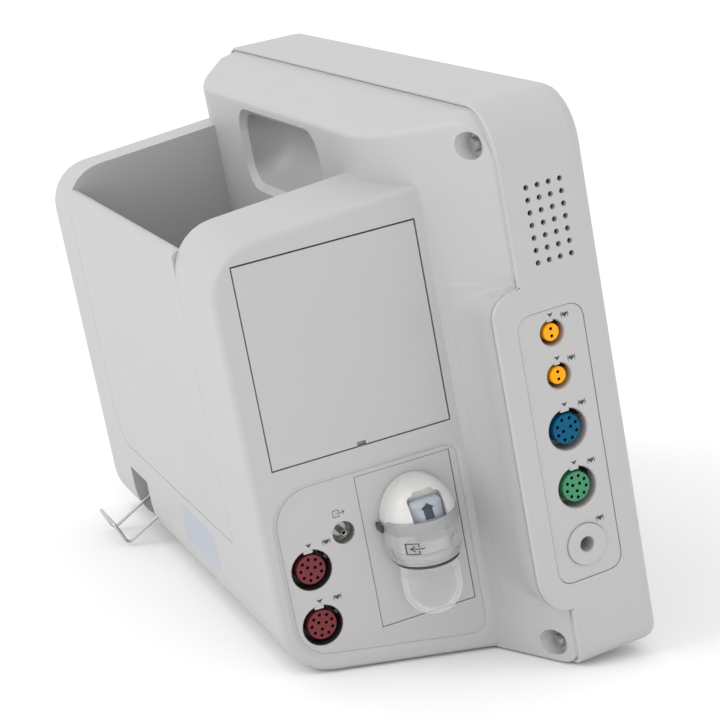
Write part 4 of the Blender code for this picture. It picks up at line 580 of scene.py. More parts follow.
# The SpO2 and ECG sleeves' grey is painted shade: the sleeves are white plastic, made darker for the shade
# inside them.
SHADE_GREY_SLEEVE = Moulded("socket_painted_shade_grey", (0.29, 0.29, 0.29), roughness=0.34, depth=0.00001)
GREY = Moulded("key_grey", (0.30, 0.31, 0.32), roughness=0.5)
LATCH = Moulded("latch_blue_grey", (0.37, 0.405, 0.455), roughness=0.3, depth=0.00001, coat=0.2)
ORANGE = Moulded("core_orange", (0.88, 0.37, 0.002), roughness=0.4, depth=0.00001, gloss=0.2)
BLUE = Moulded("core_blue", (0.001, 0.092, 0.188), roughness=0.4, depth=0.00001, gloss=0.12)
GREEN = Moulded("core_green", (0.050, 0.25, 0.125), roughness=0.4, depth=0.00001, gloss=0.25)
MAROON = Moulded("core_maroon", (0.165, 0.028, 0.036), roughness=0.42, depth=0.00001, gloss=0.2)
AMBER = Moulded("lamp_amber", (0.62, 0.42, 0.16), roughness=0.3, coat=0.5)
CLEAR = Clear("trap_clear", body=0.04, edge=0.85, mirror=0.3, painted_wall_line=0.16)
MILKY = Clear("trap_milky", body=0.30, edge=0.7, tone=(0.60, 0.60, 0.61), mirror=0.2, roughness=0.1)
FROST = Clear("trap_frost", body=0.50, tone=(0.56, 0.56, 0.57), mirror=0.15, roughness=0.2)
RIM = Clear("trap_rim", body=0.86, edge=0.1, tone=(0.335, 0.335, 0.34), mirror=0.05, roughness=0.2)
FILTER = Moulded("filter_white", (0.56, 0.56, 0.56), roughness=0.6, depth=0.00004)
STEEL = Drawn("wire_steel", (0.62, 0.60, 0.57))
TURNED = Drawn("turned_steel", (0.50, 0.49, 0.48), 0.36, (3000.0, 600.0, 600.0))
ZINC = Drawn("zinc_plated", (0.42, 0.42, 0.43), 0.5, (900.0, 900.0, 900.0))
ROLLED = Drawn("rolled_aluminium", (0.70, 0.71, 0.72), 0.34, (220.0, 5200.0, 220.0))
RUBBER = Soft("black_rubber")
BOARD = Circuit("board_green")
LABEL = Printed("label_pale_blue", (0.36, 0.39, 0.445), 0.45)
INK = Printed("ink_dark", (0.030, 0.038, 0.046), 0.45)


# Frames and outlines


LEAN = math.radians(10.4)
BASE_Y = 0.110
BASE_DROP = 0.0089


@dataclass(frozen=True)
class Stance:
    """How the body leans on the table, and where the world's origin lies under it.

    table_z is base_z to five places, for what is measured from the table.
    """

    lean: float = LEAN
    base_y: float = BASE_Y
    base_z: float = math.tan(LEAN) * BASE_Y - BASE_DROP
    table_z: float = 0.01129

    def world(self, points: np.ndarray) -> np.ndarray:
        """Carry points of the leaning body into the world.

        Args:
            points: an array whose last axis is x, y, z.

        Returns:
            The array in world coordinates.
        """
        cos, sin = math.cos(self.lean), math.sin(self.lean)
        turn = np.array(((1.0, 0.0, 0.0), (0.0, cos, sin), (0.0, -sin, cos)))
        return (points - np.array((0.0, self.base_y, self.base_z))) @ turn.T

    def level(self, y: np.ndarray, lift: float) -> np.ndarray:
        """The body height, at each depth y, of a line that runs level with the table at a height above it."""
        return self.table_z + (lift + math.sin(self.lean) * (y - self.base_y)) / math.cos(self.lean)


STANCE = Stance()


@dataclass(frozen=True)
class Seat:
    """A place on the body to build on: its origin, and what right, up and out are there."""

    origin: Triple
    right: Triple = (1.0, 0.0, 0.0)
    up: Triple = (0.0, 0.0, 1.0)
    out: Triple = (0.0, -1.0, 0.0)

    def world(self, local: np.ndarray) -> np.ndarray:
        """World points of local ones: origin plus right, up and out times the local coordinates."""
        axes = np.array((self.right, self.up, self.out))
        return STANCE.world(np.asarray(local) @ axes + np.array(self.origin))


BEZEL_HALF = 0.199
BEZEL_REAR_Y = 0.0439
DRAFT_RUN = 0.0035
DRAFT = math.atan2(DRAFT_RUN, BEZEL_REAR_Y)
PORT_Y = 0.0313
PORT_SINK = 0.0004
CUFF_Z = 0.0603
FASCIA_X = -0.1568
BEND_STEPS = 9
MERGE = 2e-6
TINY = 1e-9
PRINT_ROOT = 0.0001
PRINT_HEIGHT = 0.00005


def port_seat(y: float, z: float, sink: float = 0.0) -> Seat:
    """A seat on the bezel's drafted left side.

    Args:
        y: depth from the bezel's front.
        z: height.
        sink: how far below the side's surface it lies.

    Returns:
        The seat, with right towards the screen and out to the left.
    """
    cos, sin = math.cos(DRAFT), math.sin(DRAFT)
    along = (y - BEZEL_REAR_Y) / cos
    origin = (-BEZEL_HALF - sin * along + cos * sink, BEZEL_REAR_Y + cos * along + sin * sink, z)
    return Seat(origin, (sin, -cos, 0.0), (0.0, 0.0, 1.0), (-cos, -sin, 0.0))


def side_seat(x: float, y: float, z: float) -> Seat:
    """A seat on the box's left side, with right towards the screen and out to the left."""
    return Seat((x, y, z), (0.0, -1.0, 0.0), (0.0, 0.0, 1.0), (-1.0, 0.0, 0.0))


def rear_seat(x: float, y: float, z: float) -> Seat:
    """A seat on a face that looks to the rear, with right as seen from behind."""
    return Seat((x, y, z), (-1.0, 0.0, 0.0), (0.0, 0.0, 1.0), (0.0, 1.0, 0.0))


def circle(radius: float, count: int) -> np.ndarray:
    """Points round a circle: radius times cosine and sine of evenly spaced angles."""
    angle = np.linspace(0.0, 2 * np.pi, count, endpoint=False)
    return radius * np.stack((np.cos(angle), np.sin(angle)), axis=-1)


def rounded_rectangle(width: float, height: float, radius: float, steps: int = 8) -> np.ndarray:
    """A rectangle with round corners: four quarter arcs about the corners' centres.

    Args:
        width: its width.
        height: its height.
        radius: its corner radius.
        steps: points in each arc.

    Returns:
        Points in order, counter-clockwise, two coordinates each.
    """
    arc = np.linspace(0.0, np.pi / 2, steps)
    angle = (np.arange(4)[:, None] * np.pi / 2 + arc[None, :]).ravel()
    sign = np.repeat(np.array(((1, 1), (-1, 1), (-1, -1), (1, -1))), steps, axis=0)
    centre = sign * np.array((width / 2 - radius, height / 2 - radius))
    return centre + radius * np.stack((np.cos(angle), np.sin(angle)), axis=-1)


def turned(profile: np.ndarray, count: int) -> np.ndarray:
    """A profile carried round an axis.

    Args:
        profile: rows of radius and height.
        count: points round the axis.

    Returns:
        A grid of profile points by angles.
    """
    profile = np.asarray(profile, dtype=float)
    ring = circle(1.0, count)
    flat = profile[:, None, :1] * ring[None, :, :]
    height = np.broadcast_to(profile[:, None, 1:], (len(profile), count, 1))
    return np.concatenate((flat, height), axis=-1)


def stroke(start: Pair, end: Pair, width: float) -> np.ndarray:
    """A straight line of a printed mark: its two ends, each moved half a width to both sides.

    Args:
        start: where the line starts.
        end: where it ends.
        width: how wide it is.

    Returns:
        The four corners, in order.
    """
    first, last = np.array(start), np.array(end)
    ahead = (last - first) / np.linalg.norm(last - first) * width / 2
    side = np.array((-ahead[1], ahead[0]))
    return np.stack((first - ahead - side, last + ahead - side, last + ahead + side, first - ahead + side))


def bend_arc(before: np.ndarray, here: np.ndarray, after: np.ndarray, radius: float) -> np.ndarray:
    """The bend at one corner: points of a circle that touches both runs.

    Args:
        before: the corner before.
        here: the corner.
        after: the corner after.
        radius: the circle's radius.

    Returns:
        Points along the bend.
    """
    back = (before - here) / np.linalg.norm(before - here)
    on = (after - here) / np.linalg.norm(after - here)
    half = math.acos(float(np.clip(back @ on, -1.0, 1.0))) / 2
    middle = (back + on) / np.linalg.norm(back + on)
    centre = here + middle * radius / math.sin(half)
    side = (on - back) / np.linalg.norm(on - back)
    sweep = np.linspace(half - math.pi / 2, math.pi / 2 - half, BEND_STEPS)[:, None]
    return centre + radius * (np.sin(sweep) * side - np.cos(sweep) * middle)


def raised(outline: np.ndarray, height: float) -> np.ndarray:
    """A flat outline at a height: the height becomes the third coordinate."""
    return np.concatenate((outline, np.full((len(outline), 1), height)), axis=-1)


def layers(outline: np.ndarray, *levels: float) -> np.ndarray:
    """The same flat outline at several heights, as rows of a grid."""
    return np.stack([raised(outline, level) for level in levels])


def rolled(x: float, y: float, ease: float, steps: int, side: float = 1.0) -> np.ndarray:
    """A rounded edge of a profile: a quarter circle from level with a face to square to it.

    The first coordinate is x less side times ease times one less sine, the second y less ease times one less
    cosine.

    Args:
        x: the first coordinate of the edge before it is rounded.
        y: the second.
        ease: the circle's radius.
        steps: points along it.
        side: 1 where the face lies at smaller x, -1 where it lies at larger x.

    Returns:
        Rows of two coordinates.
    """
    roll = np.linspace(0.0, np.pi / 2, steps)
    return np.stack((x - side * ease * (1 - np.sin(roll)), y - ease * (1 - np.cos(roll))), axis=-1)


def spread(corners: np.ndarray, rows: int, columns: int) -> np.ndarray:
    """A grid inside four corners: straight lines between points of the lower and the upper edge.

    Args:
        corners: the corners in order, from the lower left.
        rows: points from the lower to the upper edge.
        columns: points along each edge.

    Returns:
        Rows by columns of two coordinates.
    """
    along = np.linspace(0.0, 1.0, columns)[:, None]
    lower = corners[0] + (corners[1] - corners[0]) * along
    upper = corners[3] + (corners[2] - corners[3]) * along
    climb = np.linspace(0.0, 1.0, rows)[:, None, None]
    return lower + (upper - lower) * climb


@dataclass(frozen=True)
class FrameMark:
    """A printed sign: a frame with a gap on its right, and an arrow through the gap."""

    left: float
    right: float
    half: float
    gap: float
    tail: float
    tip: float
    barb_x: float
    barb_y: float
    width: float

    def outlines(self) -> list[np.ndarray]:
        """Outlines of the sign's lines.

        Returns:
            Five lines of the frame, the arrow's shaft and its two barbs, four corners each.
        """
        left, right, half, gap = self.left, self.right, self.half, self.gap
        ends = (
            ((right, -half), (left, -half)),
            ((left, -half), (left, half)),
            ((left, half), (right, half)),
            ((right, half), (right, gap)),
            ((right, -half), (right, -gap)),
            ((self.tail, 0.0), (self.tip, 0.0)),
            ((self.tip, 0.0), (self.barb_x, self.barb_y)),
            ((self.tip, 0.0), (self.barb_x, -self.barb_y)),
        )
        return [stroke(start, end, self.width) for start, end in ends]


# Meshes


class Surface:
    """Patches of points and faces that become one mesh."""

    def __init__(self) -> None:
        """Start with no patches."""
        self.points: list[np.ndarray] = []
        self.faces: list[list[int]] = []
        self.slots: list[int] = []
        self.count = 0

    def _take(self, points: np.ndarray, faces: list[list[int]], slot: int) -> None:
        """Add points and faces.

        Args:
            points: the points.
            faces: the faces, as numbers of points of the whole surface.
            slot: the number of the faces' material.
        """
        self.points.append(points)
        self.faces += faces
        self.slots += [slot] * len(faces)
        self.count += len(points)

    def grid(self, points: np.ndarray, wrap: bool = True, loop: bool = False, slot: int = 0) -> "Surface":
        """Add a grid of points with a four-sided face in each cell.

        Args:
            points: rows by columns by coordinates.
            wrap: whether the last column joins the first.
            loop: whether the last row joins the first.
            slot: the number of the faces' material.

        Returns:
            This surface.
        """
        rows, columns = points.shape[:2]
        index = np.arange(rows * columns).reshape(rows, columns) + self.count
        if wrap:
            index = np.concatenate((index, index[:, :1]), axis=1)
        if loop:
            index = np.concatenate((index, index[:1]), axis=0)
        corners = (index[:-1, :-1], index[:-1, 1:], index[1:, 1:], index[1:, :-1])
        faces = np.stack(corners, axis=-1).reshape(-1, 4)
        self._take(points.reshape(-1, 3), faces.tolist(), slot)
        return self

    def lid(self, ring: np.ndarray, slot: int = 0) -> "Surface":
        """Close a ring of points with one flat face."""
        self._take(ring, [list(range(self.count, self.count + len(ring)))], slot)
        return self

    def tube(self, points: np.ndarray, slot: int = 0) -> "Surface":
        """Add a grid of rings and close its first and last ring."""
        return self.grid(points, slot=slot).lid(points[0], slot).lid(points[-1], slot)

    def pierced(self, outer: np.ndarray, holes: list[np.ndarray], seat: Seat, height: float) -> "Surface":
        """Fill the flat area between an outline and its round holes with triangles.

        Args:
            outer: the outline, two coordinates a point.
            holes: the holes' outlines.
            seat: where the area lies.
            height: its height above the seat.

        Returns:
            This surface.
        """
        loops = [outer, *holes]
        flat = np.concatenate(loops)
        starts = np.cumsum([0] + [len(loop) for loop in loops])
        edges = []
        for start, loop in zip(starts, loops):
            order = np.arange(len(loop))
            edges += np.stack((start + order, start + (order + 1) % len(loop)), axis=-1).tolist()
        filled = delaunay_2d_cdt([Vector(point) for point in flat.tolist()], edges, [], 1, TINY)
        places = np.array([tuple(point) for point in filled[0]])
        corners = np.array(filled[2])
        spots = np.stack([hole.mean(axis=0) for hole in holes])
        reach = np.array([np.linalg.norm(hole - hole.mean(axis=0), axis=1).min() for hole in holes])
        apart = np.linalg.norm(places[corners].mean(axis=1)[:, None] - spots[None], axis=-1)
        kept = corners[(apart > reach).all(axis=1)] + self.count
        self._take(seat.world(raised(places, height)), kept.tolist(), 0)
        return self

    def settle(self, name: str, finishes: list[Finish], sharp: float = 35.0) -> bpy.types.Object:
        """Make the mesh object: doubles merged, faces turned outwards, smooth but for sharp edges.

        Args:
            name: the piece's name.
            finishes: its finishes, by slot.
            sharp: the angle in degrees from which an edge stays sharp.

        Returns:
            The object, linked to the scene.
        """
        mesh = bpy.data.meshes.new(name)
        mesh.from_pydata(np.concatenate(self.points), [], self.faces)
        mesh.polygons.foreach_set("material_index", np.array(self.slots, dtype=np.int32))
        return settled(mesh, name, finishes, sharp)


def settled(mesh: bpy.types.Mesh, name: str, finishes: list[Finish], sharp: float) -> bpy.types.Object:
    """Merge a mesh's doubles, turn its faces outwards, shade it and link it.

    Args:
        mesh: the mesh.
        name: the piece's name.
        finishes: its finishes, by slot.
        sharp: the angle in degrees from which an edge stays sharp.

    Returns:
        The object.
    """
    work = bmesh.new()
    work.from_mesh(mesh)
    bmesh.ops.remove_doubles(work, verts=work.verts, dist=MERGE)
    bmesh.ops.recalc_face_normals(work, faces=work.faces)
    work.to_mesh(mesh)
    work.free()
    for finish in finishes:
        mesh.materials.append(finish.material())
    mesh.shade_smooth()
    mesh.set_sharp_from_angle(angle=math.radians(sharp))
    piece = bpy.data.objects.new(name, mesh)
    bpy.context.scene.collection.objects.link(piece)
    return piece


def seated(piece: bpy.types.Object, body: Body, slot: Slot, *nodes: str) -> bpy.types.Object:
    """Let a piece ride on a body and say which nodes it stands for.

    Args:
        piece: the piece.
        body: the body that carries it.
        slot: the material slot of the record; not used.
        nodes: the nodes that it replaces.

    Returns:
        The piece.
    """
    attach(piece, body.value)
    if nodes:
        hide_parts(*nodes)
    LOG.info("piece %s on %s", piece.name, body.value)
    return piece


def eased(piece: bpy.types.Object, width: float, angle: float) -> None:
    """Ease a piece's edges.

    Args:
        piece: the piece.
        width: the width of the eased edges.
        angle: the angle from which an edge is eased.
    """
    ease = piece.modifiers.new("eased_edges", "BEVEL")
    ease.width = width
    ease.segments = 2
    ease.limit_method = "ANGLE"
    ease.angle_limit = angle


def moulding(node: str, finish: Finish, edge: float) -> bpy.types.Object:
    """A copy of a node's solid with its triangles merged and its hard edges eased.

    Args:
        node: the node's name.
        finish: the copy's finish.
        edge: the width of the eased edges.

    Returns:
        The copy.
    """
    sharp, flat = math.radians(33), math.radians(0.6)
    mesh = bpy.data.meshes.new(node + "_skin")
    work = bmesh.new()
    work.from_mesh(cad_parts[node].data)
    bmesh.ops.remove_doubles(work, verts=work.verts, dist=MERGE)
    bmesh.ops.dissolve_limit(work, angle_limit=flat, verts=work.verts, edges=work.edges)
    work.to_mesh(mesh)
    work.free()
    mesh.materials.append(finish.material())
    mesh.shade_smooth()
    mesh.set_sharp_from_angle(angle=sharp)
    piece = bpy.data.objects.new(node + "_skin", mesh)
    bpy.context.scene.collection.objects.link(piece)
    eased(piece, edge, sharp)
    level = piece.modifiers.new("level_normals", "WEIGHTED_NORMAL")
    level.keep_sharp = True
    return piece


# Sub-assemblies


@dataclass
class Housing:
    """The moulded shells: bezel, rear case, rear panel, door, fascia, gas plate and port panel."""

    edge: float = 0.0004
    fine_edge: float = 0.0002
    shells: tuple[str, ...] = ("front_bezel", "rear_case")
    covers: tuple[str, ...] = ("rear_panel", "module_fascia", "co2_plate", "port_panel")
    fascia_front: float = 0.07313
    fascia_rear: float = 0.16733
    fascia_top: float = 0.1135
    fascia_foot: float = 0.0098
    fascia_corner: float = 0.006
    fascia_rear_corner: float = 0.018
    strip_inside: float = 0.0004
    strip_seam: float = 0.0003
    strip_outside: float = 0.0008
    strip_foot: float = 0.0010
    strip_sunk: Triple = (0.0003, 0.00022, 0.0002)
    grip_half: float = 0.062
    grip_foot: float = 0.21554
    grip_head: float = 0.25454
    grip_corner: float = 0.012
    grip_mouth: float = 0.0795
    grip_back: float = 0.055
    grip_fillet: float = 0.017
    grip_head_draw: float = 0.0012
    grip_floor: float = 0.0006
    grip_fit: float = 0.0001
    grip_rings: int = 14
    grip_steps: int = 10

    def build(self) -> None:
        """Make the eased copies of all the shells, the fascia's strip and the grip's scoop."""
        for node in self.shells:
            seated(moulding(node, CASE, self.edge), Body.MONITOR, Slot.CASE, node)
        for node in self.covers:
            seated(moulding(node, CASE, self.fine_edge), Body.MONITOR, Slot.CASE, node)
        seated(moulding("battery_door", CASE, self.fine_edge), Body.DOOR, Slot.CASE, "battery_door")
        self.build_fascia_edge()
        self.build_grip()

    def fascia_outline(self, grow: float) -> np.ndarray:
        """The fascia's outline, grown: a foot level with the table, and round corners.

        Args:
            grow: how far it is grown.

        Returns:
            Points of depth and height.
        """
        near, away, head = self.fascia_front - grow, self.fascia_rear + grow, self.fascia_top + grow
        low = STANCE.level(np.array((near, away)), self.fascia_foot - grow)
        ends = np.array(((near, low[0]), (away, low[1]), (away, head), (near, head)))
        radius = np.array((self.fascia_corner, self.fascia_rear_corner))[[0, 1, 1, 0]] + grow
        arcs = [bend_arc(ends[at - 1], ends[at], ends[(at + 1) % 4], radius[at]) for at in range(4)]
        return np.concatenate(arcs)

    def build_fascia_edge(self) -> None:
        """Make the strip that closes the seam round the fascia: a closed profile carried round its outline.

        Each profile row is how far it lies outside the fascia's outline and how far below its face.
        """
        inner, middle, outer = self.strip_sunk
        profile = (
            (-self.strip_inside, self.strip_foot),
            (-self.strip_inside, inner),
            (self.strip_seam, middle),
            (self.strip_outside, outer),
            (self.strip_outside, self.strip_foot),
        )
        rows = []
        for grow, sunk in profile:
            outline = self.fascia_outline(grow)
            rows.append(np.concatenate((np.full((len(outline), 1), FASCIA_X + sunk), outline), axis=-1))
        surface = Surface().grid(STANCE.world(np.stack(rows)), loop=True)
        seated(surface.settle("fascia_edge", [CASE], sharp=60.0), Body.MONITOR, Slot.CASE)

    def build_grip(self) -> None:
        """Make the hand grip's scoop: rings that shrink along a quarter ellipse from its mouth to its back.

        The foot and the ends are drawn in much, the head little; the rings return outside along the recess.
        """
        fit = self.grip_fit
        travel = self.grip_mouth - self.grip_back - self.grip_floor
        turn = np.linspace(0.0, np.pi / 2, self.grip_rings)
        rows = []
        for inward, deep in zip(1.0 - np.sin(turn), np.cos(turn)):
            low = self.grip_foot + fit + self.grip_fillet * inward
            high = self.grip_head - fit - self.grip_head_draw * inward
            half = self.grip_half - fit - self.grip_fillet * inward
            middle = (0.0, (low + high) / 2)
            ring = rounded_rectangle(2 * half, high - low, self.grip_corner - fit, self.grip_steps) + middle
            y = self.grip_mouth - travel * deep
            rows.append(np.stack((ring[:, 0], np.full(len(ring), y), ring[:, 1]), axis=-1))
        behind = rows[-1].copy()
        behind[:, 1] = self.grip_back + fit
        surface = Surface().tube(STANCE.world(np.stack((*rows, behind))))
        seated(surface.settle("grip_scoop", [CASE], sharp=40.0), Body.MONITOR, Slot.CASE)


@dataclass
class RearRim:
    """Where the rear case meets the bezel: a bead, a round-edged rim, and a fairing over the port bulge."""

    height: float = 0.2745
    upper: float = 0.026
    lower: float = 0.009
    draft: float = 0.0012
    bulge_foot: float = 0.0309
    bulge_head: float = 0.1905
    foot_ease: float = 0.020
    head_ease: float = 0.0115
    bulge_depth: float = 0.0152
    rim_y: float = 0.045
    rim_half: float = 0.195
    rim_round: float = 0.0009
    rim_inner: float = 0.0052
    rim_shoulder: float = 0.0044
    flare: float = math.tan(math.radians(33))
    proud: float = 0.00115
    bead_width: float = 0.0015
    bead_rise: float = 0.0010
    lap: float = 0.0002
    sunk: float = 0.0004
    groove: float = 0.0022
    fillet: float = 0.006
    least_fillet: float = 0.0001
    outer_x: float = -0.1966
    inner_x: float = -0.1603
    below: float = 0.006
    above: float = 0.005
    under: float = 0.00004
    dip: float = 0.0006
    blend: float = 0.004
    draft_x: float = -0.19
    draft_run: float = 0.006
    sheet: float = 0.0012
    roll_points: int = 7
    side_points: int = 180
    arc_points: int = 12
    columns: int = 60
    rows: int = 220

    def build(self) -> None:
        """Make the bezel's rear bead, the case's rim and the fairing."""
        roll = np.linspace(0.0, np.pi / 2, self.roll_points)
        bead = np.stack((self.bead_width * (1.0 - np.cos(roll)), self.bead_rise * np.sin(roll)), axis=-1)
        past = self.bead_width + self.lap
        back = np.array(((past, self.bead_rise - self.lap), (past, -self.sunk), (self.sunk, -self.sunk)))
        self.build_ring("bezel_bead", np.concatenate((bead, back)))
        inner = np.array(((self.rim_inner, self.lap), (self.rim_shoulder, self.proud)))
        edge = rolled(self.groove, self.proud, self.rim_round, self.roll_points, -1.0)
        foot = np.array(((self.groove, -self.sunk), (self.rim_inner, -self.sunk)))
        self.build_ring("rear_rim", np.concatenate((inner, edge, foot)))
        self.build_fairing()

    def swell(self, z: np.ndarray) -> np.ndarray:
        """Share of the bulge's depth at a height: one in its middle, quarter ellipses at its ends.

        Args:
            z: heights.

        Returns:
            The share at each.
        """
        head = (z - self.bulge_head + self.head_ease) / self.head_ease
        foot = (self.bulge_foot + self.foot_ease - z) / self.foot_ease
        over = np.clip(np.maximum(head, foot), 0.0, 1.0)
        return np.sqrt(1.0 - over * over)

    def outline(self, inset: float) -> np.ndarray:
        """The bezel's outline drawn in by an inset: four arcs, with many points down the left side.

        Args:
            inset: how far it is drawn in.

        Returns:
            Points in order, x and z each.
        """
        half, top = BEZEL_HALF - inset, self.height - inset
        upper, lower = self.upper - inset, self.lower - inset
        side_z = np.linspace(top - upper, inset + lower, self.side_points)
        left = np.stack((np.full_like(side_z, -half), side_z), axis=-1)
        arc = np.linspace(0.0, np.pi / 2, self.arc_points)[1:]
        bend = np.stack((np.cos(arc), np.sin(arc)), axis=-1)
        corners = (
            (lower, np.array((lower - half, inset + lower)), np.pi),
            (lower, np.array((half - lower, inset + lower)), 1.5 * np.pi),
            (upper, np.array((half - upper, top - upper)), 0.0),
            (upper, np.array((upper - half, top - upper)), 0.5 * np.pi),
        )
        arcs = []
        for radius, centre, turn in corners:
            spin = np.array(((math.cos(turn), math.sin(turn)), (-math.sin(turn), math.cos(turn))))
            arcs.append(centre + radius * np.concatenate((spin[:1], bend @ spin)))
        return np.concatenate((left, *arcs))

    def build_ring(self, name: str, profile: np.ndarray) -> None:
        """Carry a closed profile of inset and rise round the outline; on the left it climbs over the bulge.

        Args:
            name: the piece's name.
            profile: rows of inset and rise.
        """
        rows = []
        for inset, rise in profile:
            x, z = self.outline(inset).T
            swell = np.where(x < 0.0, self.swell(z), 0.0)
            y = BEZEL_REAR_Y + self.bulge_depth * swell + rise
            rows.append(np.stack((x - self.draft * swell, y, z), axis=-1))
        surface = Surface().grid(STANCE.world(np.stack(rows)), loop=True)
        seated(surface.settle(name, [CASE], sharp=50.0), Body.MONITOR, Slot.CASE)

    def build_fairing(self) -> None:
        """Make the fairing: the higher of the bulge's back and the flare, with a fillet between the two.

        The fillet adds a quarter of its reach times the squared overlap, and the sheet dips below the case's
        skin along its inner, upper and lower borders.
        """
        across = np.linspace(self.outer_x, self.inner_x, self.columns)
        up = np.linspace(self.bulge_foot - self.below, self.bulge_head + self.above, self.rows)
        x, z = np.meshgrid(across, up, indexing="xy")
        swell = self.swell(z)
        bulge = BEZEL_REAR_Y + self.bulge_depth * swell + self.proud - self.under
        border = np.minimum(np.minimum(z - up[0], up[-1] - z), self.inner_x - x)
        lift = self.lap - self.dip * (1.0 - np.clip(border / self.blend, 0.0, 1.0))
        flare = self.rim_y + (self.rim_half + x) * self.flare + lift
        reach = self.fillet * swell + self.least_fillet
        overlap = np.clip(1.0 - np.abs(bulge - flare) / reach, 0.0, 1.0)
        y = np.maximum(bulge, flare) + overlap**2 * reach / 4
        lean = self.draft * swell * np.clip((self.draft_x - x) / self.draft_run, 0.0, 1.0)
        face = np.stack((x - lean, y, z), axis=-1)
        back = face - np.array((0.0, self.sheet, 0.0))
        rows = np.concatenate((face, back[::-1]))
        surface = Surface().grid(STANCE.world(rows), wrap=False, loop=True)
        seated(surface.settle("bulge_fairing", [CASE], sharp=60.0), Body.MONITOR, Slot.CASE)


@dataclass
class Grille:
    """Round eased mouths in the loudspeaker's holes."""

    columns: int = 4
    rows: int = 7
    pitch: float = 0.0059
    front_y: float = 0.0149
    top_z: float = 0.2350
    bore: float = 0.00125
    lip: float = 0.00165
    depth: float = 0.0028
    proud: float = 0.00003
    roll_points: int = 5
    sides: int = 20

    def build(self) -> None:
        """Turn one mouth at each hole: a lip that rolls over from the side's surface into a bore."""
        mouth = rolled(self.bore, self.proud, self.lip - self.bore, self.roll_points, -1.0)
        wall = np.array(((self.bore, -self.depth), (self.lip, -self.depth), (self.lip, self.proud)))
        profile = np.concatenate((mouth, wall))
        surface = Surface()
        for column in range(self.columns):
            for row in range(self.rows):
                seat = port_seat(self.front_y + self.pitch * column, self.top_z - self.pitch * row)
                surface.grid(seat.world(turned(profile, self.sides)), loop=True)
        seated(surface.settle("grille_mouths", [CASE]), Body.MONITOR, Slot.CASE)


class Pins(Enum):
    """A core's contacts: holes in its outer and inner ring, the inner ring's start in degrees and reach."""

    TWO = (0, 2, 90.0, 0.42)
    TEN = (8, 2, 18.0, 0.30)
    TWELVE = (9, 3, -90.0, 0.30)


